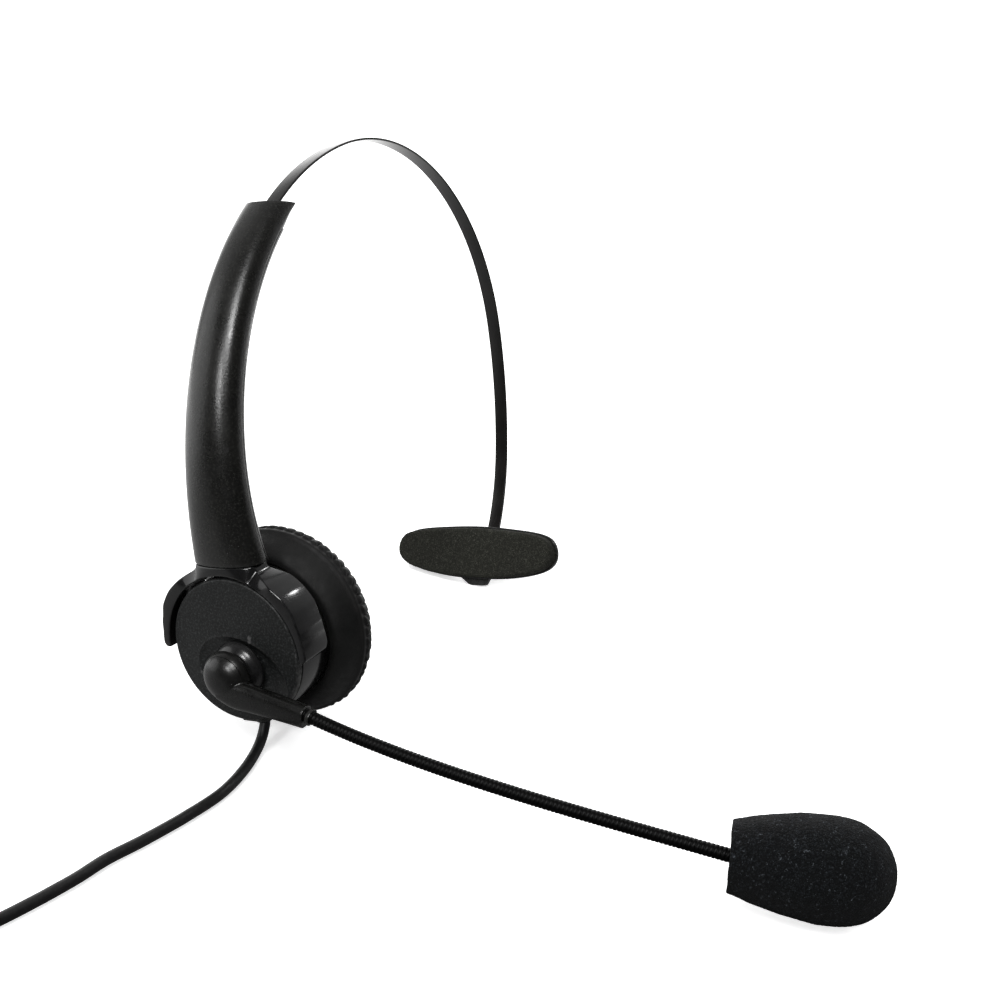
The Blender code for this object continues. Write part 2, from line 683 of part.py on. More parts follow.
def make_band():
    end = STRIP_ARCS[-1][1]
    strip = add_mesh("headband_strip",
                     loft_mesh("headband_strip",
                               strip_rings(strip_start_slope(), end, STRIP_ARCS, STRIP_WIDTH,
                                           STRIP_THICKNESS)),
                     "spring_steel", BAND_AXIS)
    # The slider is moulded round the strip's lower end and runs inside the arm.
    slider_from = strip_start_slope() + 4.2 * MM / BAND_RADIUS
    slider_to = strip_start_slope() + GAP / BAND_RADIUS
    add_mesh("band_slider",
             loft_mesh("band_slider",
                       strip_rings(slider_from, slider_to, ((BAND_RADIUS, slider_to),),
                                   8.4 * MM, 3.2 * MM, math.radians(1.0))),
             "white_plastic", BAND_AXIS)
    return strip


def make_band_guide():
    """The slotted bush that closes the arm's mouth and guides the strip."""
    rings_out, rings_in = [], []
    count = 24
    for share in (0.95, 0.965, 0.98, 0.993):
        width = arm_half_width(share) - ARM_WALL - GAP
        out, inwards = arm_reach(share)
        section = arm_section(width, out - ARM_WALL - GAP, inwards - ARM_WALL - GAP, 0,
                              360 - 360 / count, count)
        rings_out.append([band_point(arm_slope(share, n), n, y) for y, n in section])
        rings_in.append([band_point(arm_slope(share, n), n, y)
                         for y, n in slot_section(section)])
    rings = rings_out + list(reversed(rings_in))
    add_mesh("band_guide", loft_mesh("band_guide", rings, closed=True), "satin_plastic",
             FRAME)


def slot_section(section):
    """The strip's slot, as points on its edge in the directions of the section's points."""
    half_y, half_n = STRIP_WIDTH / 2 + GAP, STRIP_THICKNESS / 2 + GAP
    points = []
    for y, n in section:
        scale = max(abs(y) / half_y, abs(n) / half_n)
        points.append((y / scale, n / scale))
    return points


def make_detent_spring():
    """A bowed leaf fixed to the inner cover; its crown brakes the slider."""
    low, high = math.radians(58.0), math.radians(45.0)
    rings = []
    for i in range(9):
        share = i / 8
        slope = low + (high - low) * share
        seat = -2.55 * MM + 0.55 * MM * math.sin(math.pi * share)
        ring = []
        for side, rise in ((-1, -1), (1, -1), (1, 1), (-1, 1)):
            ring.append(band_point(slope, seat + rise * 0.12 * MM, side * 1.8 * MM))
        rings.append(ring)
    add_mesh("detent_spring", loft_mesh("detent_spring", rings), "steel", FRAME)


# ---------------------------------------------------------------- T-pad

def tpad_point(y, up, back):
    """A point from the pad's own axes: along the pad, up its face and away from the ear."""
    up_axis = Vector((math.sin(TPAD_TILT), 0, math.cos(TPAD_TILT)))
    back_axis = Vector((math.cos(TPAD_TILT), 0, -math.sin(TPAD_TILT)))
    return TPAD_CENTRE + up_axis * up + back_axis * back + Vector((0, y, 0))


def tpad_outline(inset, back, count=44):
    """The pad's boat-shaped outline, flatter above than below."""
    points = []
    for i in range(count):
        angle = 2 * math.pi * i / count
        rise = TPAD_UP if math.sin(angle) >= 0 else TPAD_DOWN
        points.append(tpad_point((TPAD_HALF_LENGTH - inset)
                                 * signed_power(math.cos(angle), 2 / 1.85),
                                 (rise - inset) * signed_power(math.sin(angle), 2 / 2.8), back))
    return points


def tpad_box(name, y, up_low, up_high, back_low, back_high):
    """A box in the pad's axes, centred on a place along the pad."""
    (centre, half) = y
    corners = []
    for back in (back_low, back_high):
        corners.append([tpad_point(centre + side * half, up, back)
                        for side, up in ((-1, up_low), (1, up_low), (1, up_high), (-1, up_high))])
    return loft_mesh(name, corners)


def make_tpad():
    half_foam = TPAD_FOAM / 2
    foam_rings = [tpad_outline(inset * MM, back)
                  for inset, back in ((1.3, -half_foam), (0.45, -half_foam + 0.35 * MM),
                                      (0.0, -half_foam + 1.2 * MM), (0.0, half_foam))]
    add_mesh("tpad_foam", loft_mesh("tpad_foam", foam_rings), "foam", TPAD_AXIS)
    plate_front = half_foam + GAP
    plate_back = plate_front + TPAD_PLATE
    plate_rings = [tpad_outline(inset * MM, back)
                   for inset, back in ((-0.6, plate_front), (-0.6, plate_front + 1.1 * MM),
                                       (0.0, plate_back))]
    plate = add_mesh("tpad_plate", loft_mesh("tpad_plate", plate_rings), "satin_plastic",
                     TPAD_AXIS)
    inner = plate_back - 0.8 * MM
    spine = tpad_box("spine", (0.0, 4.2 * MM), -12.9 * MM, -4.6 * MM, plate_front + 0.2 * MM,
                     plate_back + 0.4 * MM)
    ears = [tpad_box("ear", (side * 6.3 * MM, 1.1 * MM), -3.6 * MM, 3.6 * MM, inner,
                     TPAD_PIN_BACK + 2.0 * MM) for side in (-1, 1)]
    join(plate, spine, *ears)
    pin_ends = [tpad_point(side * 7.2 * MM, TPAD_PIN_UP, TPAD_PIN_BACK) for side in (-1, 1)]
    wide_ends = [tpad_point(side * 12 * MM, TPAD_PIN_UP, TPAD_PIN_BACK) for side in (-1, 1)]
    bore = rod_mesh("pin_bore", *wide_ends, 1.0 * MM + GAP, 16)
    cut(plate, bore)
    # The clip grips the strip's end, so it belongs to the band; the pad turns on its pin.
    clip = add_mesh("tpad_clip",
                    tpad_box("tpad_clip", (0.0, 4.7 * MM), -2.6 * MM, 5.0 * MM,
                             TPAD_PIN_BACK - 2.7 * MM, TPAD_PIN_BACK + 4.4 * MM),
                    "satin_plastic", BAND_AXIS)
    cut(clip, loft_mesh("strip_slot", strip_slot_rings()),
        rod_mesh("pin_bore", *wide_ends, 1.0 * MM + GAP, 16))
    add_mesh("tpad_pin", rod_mesh("tpad_pin", *pin_ends, 1.0 * MM, 16), "steel", TPAD_AXIS)


def strip_slot_rings():
    """The strip's lower stretch, a gap wider all round and a little longer."""
    arcs = STRIP_ARCS[:-1] + ((STRIP_ARCS[-1][0], STRIP_ARCS[-1][1] - math.radians(0.6)),)
    rings = strip_rings(strip_start_slope(), arcs[-1][1], arcs, STRIP_WIDTH + 2 * GAP,
                        STRIP_THICKNESS + 2 * GAP)
    return rings[-12:]


# ---------------------------------------------------------------- boom

def boom_point(along, up, x):
    """A point from the boom arm's axes: along the arm, across it upwards, and a depth."""
    forward = Vector((0, -math.cos(BOOM_SLOPE), -math.sin(BOOM_SLOPE)))
    upward = Vector((0, -math.sin(BOOM_SLOPE), math.cos(BOOM_SLOPE)))
    return cup_point(x, PIVOT_Y, PIVOT_Z) + forward * along + upward * up


def boom_arm_rings():
    """Rounded-box sections of the tapering arm: station, lower edge, upper edge, depths."""
    stations = (
        (-1.0, -6.0, 0.6, -5.1, -9.6), (4.0, -6.9, 0.9, -4.9, -9.9),
        (9.0, -6.35, 0.95, -4.9, -10.0), (14.0, -5.8, 0.75, -4.95, -10.0),
        (20.0, -5.25, 0.35, -5.0, -9.95), (27.0, -4.75, -0.35, -5.2, -9.85),
    )
    rings = []
    count = 24
    for along, low, high, near, far in stations:
        ring = []
        for i in range(count):
            angle = 2 * math.pi * i / count
            up = (low + high) / 2 + (high - low) / 2 * signed_power(math.cos(angle), 0.72)
            x = (near + far) / 2 + (near - far) / 2 * signed_power(math.sin(angle), 0.72)
            ring.append(boom_point(along * MM, up * MM, x * MM))
        rings.append(ring)
    return rings


def socket_line(start, end):
    """The gooseneck's seat in the arm, as two points along its first tangent."""
    first, second = (Vector((depth(x), y, z)) for x, y, z in GOOSENECK_HANDLES[:2])
    tangent = (second - first).normalized()
    return first + tangent * start, first + tangent * end


def make_boom_arm():
    bulb = [
        (0.0, 10.3), (3.0, 10.1), (4.8, 9.7), (6.2, 9.0), (7.0, 8.1), (7.3, 7.0), (7.3, 5.4),
        (6.9, 4.8), (6.4, 4.5), (0.0, 4.5),
    ]
    profile = [(r * MM, h * MM) for r, h in bulb]
    reach = 60 * MM
    split = BOOM_MID_DEPTH
    halves = (
        ("boom_arm_outer", (depth(split - 0.15 * MM), depth(reach))),
        ("boom_arm_inner", (depth(-reach), depth(split + 0.15 * MM))),
    )
    for name, (low, high) in halves:
        half = turned(name, profile, "satin_plastic", BOOM_AXIS, cup_point(0.0, PIVOT_Y, PIVOT_Z),
                      (-1, 0, 0), 32)
        bake(half)
        join(half, loft_mesh("arm_body", boom_arm_rings()))
        block = box_mesh("other_half", (low, -reach, -reach), (high, reach, reach))
        seat = rod_mesh("seat", *socket_line(-8 * MM, 6 * MM), GOOSENECK_RADIUS + GAP, 20)
        cut(half, block, seat)


def make_pivot():
    """The domed hub under the arm, its wave washer, retaining ring and screw."""
    hub = turned("boom_pivot_hub", [(r * MM, h * MM) for r, h in (
        (0.0, 4.2), (3.6, 4.15), (5.6, 3.5), (7.1, 2.4), (7.9, 1.1), (8.0, 0.45), (7.6, 0.2),
        (6.0, -0.9), (3.9, -0.9), (3.9, -4.6), (0.0, -4.6))],
        "gloss_plastic", BOOM_AXIS, cup_point(0.0, PIVOT_Y, PIVOT_Z), (-1, 0, 0), 28)
    bake(hub)
    cut(hub, pivot_rod("screw_pilot", -1.0 * MM, 8 * MM, 1.15 * MM, 12))
    turned("boom_friction_washer", [(r * MM, -d * MM) for r, d in (
        (6.8, 2.5), (6.8, 2.9), (4.2, 2.9), (4.2, 2.5))],
        "steel", TILT_AXIS, cup_point(0.0, PIVOT_Y, PIVOT_Z), (-1, 0, 0), 20, loop=True)
    turned("boom_retaining_ring", [(r * MM, -d * MM) for r, d in (
        (6.8, 3.2), (6.8, 4.6), (4.2, 4.6), (4.2, 3.2))],
        "white_plastic", BOOM_AXIS, cup_point(0.0, PIVOT_Y, PIVOT_Z), (-1, 0, 0), 20, loop=True)
    turned("boom_pivot_screw", [(r * MM, h * MM) for r, h in (
        (0.0, 0.9), (5.2, 0.9), (5.2, 0.0), (0.8, 0.0), (0.8, -5.2), (0.0, -5.5))],
        "steel", BOOM_AXIS, cup_point(4.9 * MM, PIVOT_Y, PIVOT_Z), (1, 0, 0), 20)


def gooseneck_point(t):
    a, b, c, d = (Vector((depth(x), y, z)) for x, y, z in GOOSENECK_HANDLES)
    return a * (1 - t) ** 3 + b * 3 * t * (1 - t) ** 2 + c * 3 * t * t * (1 - t) + d * t ** 3


def gooseneck_tangent(t):
    return (gooseneck_point(t + 0.005) - gooseneck_point(t - 0.005)).normalized()


def make_gooseneck():
    """Two stretches of gooseneck that meet at a ball standing for its bend."""
    bend = gooseneck_point(BEND_AT)
    tangent = gooseneck_tangent(BEND_AT)
    clear = GOOSENECK_RADIUS + 0.1 * MM
    lower_start = socket_line(-5.5 * MM, 0)[0]
    lower = [lower_start] + [gooseneck_point(BEND_AT * i / 12) for i in range(12)]
    lower = [p for p in lower if (p - bend).length > 2 * clear] + [bend - tangent * clear]
    tube("gooseneck_lower", lower, GOOSENECK_RADIUS, "spring_steel", BOOM_AXIS)
    rest = 1 - BEND_AT
    upper = [gooseneck_point(BEND_AT + rest * i / 12) for i in range(1, 13)]
    upper = [bend + tangent * clear] + [p for p in upper if (p - bend).length > 2 * clear]
    upper = upper + [upper[-1] + FOAM_AXIS * 2.0 * MM]
    tube("gooseneck_upper", upper, GOOSENECK_RADIUS, "spring_steel", MIC_AXIS)

    def ball(bm):
        bmesh.ops.create_uvsphere(bm, u_segments=10, v_segments=7, radius=1.45 * MM)
        bmesh.ops.translate(bm, vec=bend, verts=bm.verts)
    add_mesh("gooseneck_core", mesh_from(ball, "gooseneck_core"), "steel", BOOM_AXIS)
    start, end = socket_line(1.1 * MM, 2.7 * MM)
    turned("boom_ferrule", [(2.75 * MM, 0.8 * MM), (2.75 * MM, -0.8 * MM),
                            (GOOSENECK_RADIUS + GAP, -0.8 * MM),
                            (GOOSENECK_RADIUS + GAP, 0.8 * MM)],
           "satin_plastic", BOOM_AXIS, (start + end) / 2, end - start, 16, loop=True)


def make_microphone():
    """Capsule in its holder, inside a foam windscreen with a blind pocket."""
    base = gooseneck_point(1.0)
    holder_from = base + FOAM_AXIS * (2.0 * MM + GAP)
    turned("mic_holder", [(r * MM, h * MM) for r, h in (
        (0.0, 6.0), (3.2, 6.0), (3.2, 11.0), (3.8, 11.0), (4.6, 10.2), (4.6, 1.0), (3.6, 0.0),
        (0.0, 0.0))],
        "satin_plastic", MIC_AXIS, holder_from, FOAM_AXIS, 16)
    turned("mic_capsule", [(0.0, 4.4 * MM), (2.9 * MM, 4.4 * MM), (2.9 * MM, 0.0), (0.0, 0.0)],
           "steel", MIC_AXIS, holder_from + FOAM_AXIS * 6.4 * MM, FOAM_AXIS, 16)
    foam_from = base - FOAM_AXIS * 0.6 * MM
    widest = 0.59
    profile = []
    for i in range(11):
        share = i / 10
        if share < widest:
            swell = math.sin(share / widest * math.pi / 2)
            radius = FOAM_END_RADIUS + (FOAM_RADIUS - FOAM_END_RADIUS) * swell
        else:
            radius = FOAM_RADIUS * math.sqrt(1 - ((share - widest) / (1 - widest)) ** 2.3)
        profile.append((radius, share * FOAM_LENGTH))
    profile[-1] = (0.0, FOAM_LENGTH)
    outside = list(reversed(profile))
    mouth = GOOSENECK_RADIUS + 0.4 * MM
    inside = [(mouth, 0.0), (mouth, 1.6 * MM), (5.1 * MM, 2.4 * MM), (5.1 * MM, 14.6 * MM),
              (3.6 * MM, 16.4 * MM), (0.0, 16.6 * MM)]
    turned("mic_windscreen", outside + inside, "foam", MIC_AXIS, foam_from, FOAM_AXIS, 28)


# ---------------------------------------------------------------- cable and plug

def cable_exit():
    """Where the cable leaves the cup's wall, at its lowest point."""
    return cup_point(4.6 * MM, -2.2 * MM, -20.2 * MM)


def on_table(x, y):
    """A point of the cable's centre line on the table, given in the standing frame."""
    point = Vector((x * MM, y * MM, TABLE_Z + CABLE_RADIUS + 0.1 * MM))
    return Matrix.Rotation(LEAN, 3, "X") @ point


def cable_end():
    return on_table(-150.0, 4.0)


def make_cable():
    """The cable leaves the cup downwards, lies on the table and ends in the plug."""
    leave = cable_exit()
    fall = [leave + Vector((0, 0, 1.0 * MM)), leave + Vector((0, 0, -0.8 * MM)),
            leave + Vector((-0.5 * MM, -0.1 * MM, -3.2 * MM))]
    lie = [on_table(-30.2, -8.6) + Vector((0, 0, 0.7 * MM)), on_table(-41.0, -11.8),
           on_table(-53.3, -13.8), on_table(-66.7, -12.9), on_table(-79.9, -10.8),
           on_table(-90.2, -8.6), on_table(-101.0, -7.6), on_table(-117.0, -4.6),
           on_table(-134.0, 0.2), cable_end()]
    tube("cable", smooth_path(fall + lie, 3), CABLE_RADIUS, "cable_jacket", TILT_AXIS)


def make_strain_relief():
    """A low block moulded round the cable, seated against the bottom of the cup's wall."""
    leave = cable_exit()
    low = leave + Vector((-2.0 * MM, 0.0, -1.9 * MM))
    high = leave + Vector((2.2 * MM, 6.1 * MM, 0.6 * MM))
    relief = add_mesh("strain_relief", box_mesh("strain_relief", low, high), "satin_plastic",
                      TILT_AXIS)
    collar = rod_mesh("collar", leave + Vector((0, 0, -1.95 * MM)),
                      leave + Vector((0, 0, 0.6 * MM)), 2.4 * MM, 20)
    join(relief, collar)
    wall = rod_mesh("wall", cup_point(-5 * MM), cup_point(25 * MM), CUP_RADIUS + 0.2 * MM, 72)
    bore = rod_mesh("cable_bore", leave + Vector((0.1 * MM, 0, 3 * MM)),
                    leave + Vector((-0.5 * MM, -0.1 * MM, -4 * MM)), CABLE_RADIUS + 0.45 * MM, 20)
    cut(relief, wall, bore)


def plug_point(along, y, z):
    """A point in the standing frame, from the plug's rear face, centre line and table."""
    end = Vector((-150.0 * MM, 4.0 * MM, TABLE_Z + 0.1 * MM))
    heading = math.atan2(3.8, -16.0)
    forward = Vector((math.cos(heading), math.sin(heading), 0))
    side = Vector((-forward.y, forward.x, 0))
    return Matrix.Rotation(LEAN, 3, "X") @ (end + forward * along + side * y
                                            + Vector((0, 0, z)))


def plug_block(name, along_low, along_high, half_width, z_low, z_high, y=0.0):
    rings = []
    for along in (along_low, along_high):
        rings.append([plug_point(along, y + side * half_width, z)
                      for side, z in ((-1, z_low), (1, z_low), (1, z_high), (-1, z_high))])
    return loft_mesh(name, rings)


def make_plug():
    """A generic four-way modular handset plug with its latch and contacts."""
    start = -2.0 * MM
    end = start + PLUG_LENGTH
    body = add_mesh("plug_body", plug_block("plug_body", start, end, PLUG_WIDTH / 2, 0.0,
                                            PLUG_HEIGHT), "clear_plastic", TILT_AXIS)
    entry = rod_mesh("entry", plug_point(start - 4 * MM, 0, CABLE_RADIUS),
                     plug_point(6.0 * MM, 0, CABLE_RADIUS), CABLE_RADIUS + 0.35 * MM, 20)
    slots = []
    for number in range(4):
        y = (number - 1.5) * 1.27 * MM
        slots.append(plug_block("contact_slot", end - 4.6 * MM, end + 1 * MM, 0.35 * MM,
                                PLUG_HEIGHT - 1.6 * MM, PLUG_HEIGHT + 1 * MM, y))
    cut(body, entry, *slots)
    for number in range(4):
        y = (number - 1.5) * 1.27 * MM
        add_mesh(f"plug_contact_{number + 1}",
                 plug_block("contact", end - 4.3 * MM, end - 0.3 * MM, 0.15 * MM,
                            PLUG_HEIGHT - 1.3 * MM, PLUG_HEIGHT - 0.5 * MM, y),
                 "brass", TILT_AXIS)


# ---------------------------------------------------------------- assembly

clear_scene()
PARTS = new_collection("office_headset")
CUTTERS = new_collection("cutters")
MATERIALS = make_materials()
PLACES = {}
FRAME = add_axis("standing_frame", (0, 0, 0))
FRAME.rotation_euler = (-LEAN, 0, 0)
FRAME.location = (0, 0, RING_CENTRE_Z)
TILT_AXIS = add_axis("cup_tilt_axis", cup_point(TRUNNION_DEPTH, 0, TRUNNION_Z), FRAME)
BOOM_AXIS = add_axis("boom_swing_axis", cup_point(0, PIVOT_Y, PIVOT_Z), TILT_AXIS)
MIC_AXIS = add_axis("mic_bend_axis", gooseneck_point(BEND_AT), BOOM_AXIS)
BAND_AXIS = add_axis("band_adjust_axis", BAND_CENTRE, FRAME)
TPAD_AXIS = add_axis("tpad_swivel_axis", tpad_point(0, TPAD_PIN_UP, TPAD_PIN_BACK), BAND_AXIS)

make_cover()
make_cup_body()
make_trunnions()
make_baffle()
make_baffle_screws()
make_driver()
make_terminal_board()
make_cushion()
make_yoke()
make_arm()
make_band()
make_band_guide()
make_detent_spring()
make_tpad()
make_boom_arm()
make_pivot()
make_gooseneck()
make_microphone()
make_cable()
make_strain_relief()
make_plug()
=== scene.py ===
"""Looks of the office headset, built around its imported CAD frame.

Shapes are drawn in millimetres in the band's upright frame, whose origin is the centre of the
ear cushion's contact ring: X runs from the cup to the head, -Y is the way the boom points and Z
is up. STAND leans that frame back and lifts it to the frame's own origin, as the CAD does.
"""
import math

import bmesh
import bpy
from mathutils import Matrix, Vector, noise


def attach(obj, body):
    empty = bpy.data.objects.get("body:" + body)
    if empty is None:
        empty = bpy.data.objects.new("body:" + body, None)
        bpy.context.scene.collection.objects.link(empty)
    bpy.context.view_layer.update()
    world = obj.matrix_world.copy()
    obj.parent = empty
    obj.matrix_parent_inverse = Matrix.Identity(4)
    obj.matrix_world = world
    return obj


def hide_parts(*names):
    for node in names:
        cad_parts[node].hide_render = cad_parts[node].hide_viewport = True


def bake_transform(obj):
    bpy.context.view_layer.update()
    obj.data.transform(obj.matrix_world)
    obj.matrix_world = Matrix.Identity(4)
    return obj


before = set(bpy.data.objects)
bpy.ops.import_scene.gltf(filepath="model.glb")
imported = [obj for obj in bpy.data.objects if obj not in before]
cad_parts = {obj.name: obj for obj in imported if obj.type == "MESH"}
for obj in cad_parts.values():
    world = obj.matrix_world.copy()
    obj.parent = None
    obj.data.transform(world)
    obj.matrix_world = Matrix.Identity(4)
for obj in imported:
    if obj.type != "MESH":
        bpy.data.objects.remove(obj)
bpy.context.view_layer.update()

MM = 0.001
LEAN = math.radians(12.0)
RING_CENTRE_Z = 18.9
TABLE_Z = -28.4
STAND = Matrix.Scale(MM, 4) @ Matrix.Translation((0, 0, RING_CENTRE_Z)) @ Matrix.Rotation(-LEAN, 4, "X")

# Ear cup, with depths counted inwards from the cover's outer face.
CUP_DEPTH = 30.0
CUP_RADIUS = 20.4
CUP_WALL = 1.5
COVER_THICKNESS = 2.2
CUP_BACK_DEPTH = 14.4
COVER_EDGE = 0.6
DISH_CENTRE = (-1.25, -7.0)
DISH_HALVES = (14.8, 10.5)
DISH_TURN = math.radians(18.6)
DISH_SAG = 1.3
SHAFT_HOLE = 4.2

YOKE_INNER = 21.5
YOKE_OUTER = 23.7
YOKE_FRONT = -0.9
YOKE_BACK = 10.0
YOKE_CORNER = 3.2
YOKE_ENDS = (math.radians(-94.0), math.radians(90.3))

BAND_CENTRE = Vector((66.4, 0.0, 35.4))
BAND_RADIUS = 92.4
ARM_BASE_Z = 24.1
ARM_MOUTH_SLOPE = math.radians(32.3)
ARM_MOUTH_CUT = math.radians(12.0)
ARM_WALL = 1.5
INNER_COVER_END = 0.90
COLLAR_SUNK = (0.55, 1.7)
SCREW_SLOPES = (math.radians(72.0), math.radians(88.0))
SCREW_HEAD = 1.95
STRIP_WIDTH = 4.8
STRIP_THICKNESS = 0.7
STRIP_HIDDEN = 40.0
STRIP_ARCS = (
    (BAND_RADIUS, math.radians(8.35)),
    (72.6, math.radians(-87.5)),
    (147.5, math.radians(-106.0)),
    (75.0, math.radians(-129.0)),
)

TPAD_CENTRE = Vector((103.3, 0.0, -14.7))
TPAD_TILT = math.radians(18.0)
TPAD_HALF_LENGTH = 30.4
TPAD_UP = 6.0
TPAD_DOWN = 11.2
TPAD_FOAM = 4.6
TPAD_PLATE = 1.8
TPAD_PIN_BACK = 10.6

PIVOT = (-0.9, -5.0)
BOOM_SLOPE = math.radians(14.0)
BOOM_SPLIT = -7.5
BOOM_VOXEL = 0.2
BOOM_GAP = 0.16
BOOM_SQUARENESS = 0.72
GOOSENECK_RADIUS = 1.75
COIL_PITCH = 1.05
COIL_DEPTH = 0.24
COIL_STEPS = 9
GOOSENECK_HANDLES = ((-7.5, -26.4, -12.5), (-6.6, -60.7, -24.9), (2.4, -97.0, -35.6),
                     (8.4, -133.0, -44.9))
FOAM_LENGTH = 38.6
FOAM_RADIUS = 12.7
FOAM_END_RADIUS = 8.6
FOAM_WIDEST = 0.59
FOAM_AXIS = Vector((0.251, -0.957, -0.146)).normalized()

CABLE_RADIUS = 1.5
CABLE_EXIT = (4.6, -2.2, -20.2)
PLUG_PLACE = (-150.0, 4.0)
PLUG_HEADING = math.atan2(3.8, -16.0)
PLUG_LENGTH = 13.0
PLUG_WIDTH = 7.6
PLUG_HEIGHT = 6.0

PLEATS = 58
PLEAT_DEPTH = 1.5
CUSHION_STEP = 0.42
CUSHION_SEAM = Vector((27.1, 21.8, 0))

FLOOR_LIFT = 0.6
FLOOR_BELOW = 0.6
SKY_SEEN = 1.15
BRIGHT_SIDE = (0.68, 0.73, 0.0)
SKY_BRIGHTEST = (0.82, 0.55, 0.12)
SKY_RAMPS = ((-0.25, 0.85, 0.05, 0.60), (0.80, 1.0, 0.0, 2.4))

CAMERA_PLACE = Vector((-295.4, -202.5, 193.9)) * MM
CAMERA_AIM = Vector((24.5, -49.3, 57.4)) * MM
CAMERA_ROLL = math.radians(-4.39)
CAMERA_LENS = 49.25


# ---------------------------------------------------------------- small maths

def mix(first, second, share):
    return first + (second - first) * share


def ease(share):
    share = min(max(share, 0.0), 1.0)
    return share * share * (3 - 2 * share)


def signed_power(value, exponent):
    return math.copysign(abs(value) ** exponent, value)


def turns(count):
    return [2 * math.pi * i / count for i in range(count)]


def smooth_path(points, steps):
    """Catmull-Rom curve through points."""
    path = []
    padded = [2 * points[0] - points[1], *points, 2 * points[-1] - points[-2]]
    for a, b, c, d in zip(padded, padded[1:], padded[2:], padded[3:]):
        for i in range(steps):
            t = i / steps
            path.append(0.5 * (2 * b + (c - a) * t + (2 * a - 5 * b + 4 * c - d) * t ** 2
                               + (3 * b - a - 3 * c + d) * t ** 3))
    path.append(points[-1])
    return path


def rounded(points, radius, steps=4):
    """A closed outline of 2D points with each corner turned into a short curve."""
    count = len(points)
    outline = []
    for i, corner in enumerate(points):
        corner = Vector(corner)
        before = Vector(points[i - 1]) - corner
        after = Vector(points[(i + 1) % count]) - corner
        reach = min(radius, before.length * 0.45, after.length * 0.45)
        start = corner + before.normalized() * reach
        end = corner + after.normalized() * reach
        for k in range(steps + 1):
            t = k / steps
            outline.append(start * (1 - t) ** 2 + corner * 2 * t * (1 - t) + end * t * t)
    return outline


def resample(path, spacing):
    """Points at even distances along a path."""
    even = [path[0]]
    carried = 0.0
    for a, b in zip(path, path[1:]):
        length = (b - a).length
        while carried + length >= spacing:
            a = a + (b - a) * ((spacing - carried) / length)
            length = (b - a).length
            carried = 0.0
            even.append(a.copy())
        carried += length
    return even


# ---------------------------------------------------------------- mesh helpers

def skin(rings, closed=False, caps=True):
    """Points and faces that join a row of rings of equal length."""
    count = len(rings[0])
    points = [point for ring in rings for point in ring]
    faces = []
    for i in range(len(rings) if closed else len(rings) - 1):
        low, high = i * count, (i + 1) % len(rings) * count
        for j in range(count):
            k = (j + 1) % count
            faces.append((low + j, low + k, high + k, high + j))
    if caps and not closed:
        faces.append(tuple(range(count - 1, -1, -1)))
        last = (len(rings) - 1) * count
        faces.append(tuple(range(last, last + count)))
    return points, faces


def shape(name, *parts):
    """One object, in millimetres, from parts that are (points, faces)."""
    points, faces = [], []
    for part_points, part_faces in parts:
        start = len(points)
        points.extend(part_points)
        faces.extend(tuple(start + i for i in face) for face in part_faces)
    mesh = bpy.data.meshes.new(name)
    mesh.from_pydata(points, [], faces)
    bm = bmesh.new()
    bm.from_mesh(mesh)
    bmesh.ops.remove_doubles(bm, verts=bm.verts, dist=0.0005)
    bmesh.ops.recalc_face_normals(bm, faces=bm.faces)
    bm.to_mesh(mesh)
    bm.free()
    obj = bpy.data.objects.new(name, mesh)
    bpy.context.scene.collection.objects.link(obj)
    return obj


def bake(obj):
    """Apply an object's modifiers."""
    bpy.context.view_layer.update()
    evaluated = obj.evaluated_get(bpy.context.evaluated_depsgraph_get())
    mesh = bpy.data.meshes.new_from_object(evaluated)
    obj.modifiers.clear()
    obj.data = mesh


def combine(obj, other, operation):
    modifier = obj.modifiers.new(operation, "BOOLEAN")
    modifier.operation = operation
    modifier.object = other
    modifier.solver = "EXACT"
    bake(obj)
    bpy.data.objects.remove(other, do_unlink=True)
    return obj


def soften(obj, width, segments=3, angle=math.radians(38)):
    """Round an object's hard edges."""
    modifier = obj.modifiers.new("soften", "BEVEL")
    modifier.width = width
    modifier.segments = segments
    modifier.limit_method = "ANGLE"
    modifier.angle_limit = angle
    modifier.use_clamp_overlap = True
    bake(obj)
    return obj


def stand(obj, material, stands_for, crease=math.radians(32)):
    """Bring a finished shape from millimetres into the frame and hide the CAD parts it stands for."""
    obj.data.transform(STAND)
    obj.data.materials.clear()
    obj.data.materials.append(material)
    obj.data.shade_smooth()
    obj.data.set_sharp_from_angle(angle=crease)
    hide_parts(*stands_for)
    return obj


def settle(obj, body, material, slot, *stands_for, crease=math.radians(32)):
    """The same, riding on one body."""
    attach(stand(obj, material, stands_for, crease), body)
    return obj


def cup_point(depth, y=0.0, z=0.0):
    return Vector((depth - CUP_DEPTH, y, z))


def cup_ring(radius, depth, count, centre=(0.0, 0.0)):
    return [cup_point(depth, centre[0] + radius * math.cos(a), centre[1] + radius * math.sin(a))
            for a in turns(count)]


def axis_rings(profile, origin, along, count):
    """Rings of (radius, distance) pairs about a line."""
    turn = Vector((0, 0, 1)).rotation_difference(along).to_matrix()
    rings = []
    for radius, height in profile:
        rings.append([origin + turn @ Vector((radius * math.cos(a), radius * math.sin(a), height))
                      for a in turns(count)])
    return rings


def tube_rings(path, radius, count):
    """Rings about a path; radius may be a function of (ring number, angle)."""
    rings = []
    side = (path[1] - path[0]).orthogonal().normalized()
    for i, point in enumerate(path):
        tangent = (path[min(i + 1, len(path) - 1)] - path[max(i - 1, 0)]).normalized()
        side = (side - tangent * side.dot(tangent)).normalized()
        up = tangent.cross(side)
        ring = []
        for a in turns(count):
            reach = radius(i, a) if callable(radius) else radius
            ring.append(point + (side * math.cos(a) + up * math.sin(a)) * reach)
        rings.append(ring)
    return rings


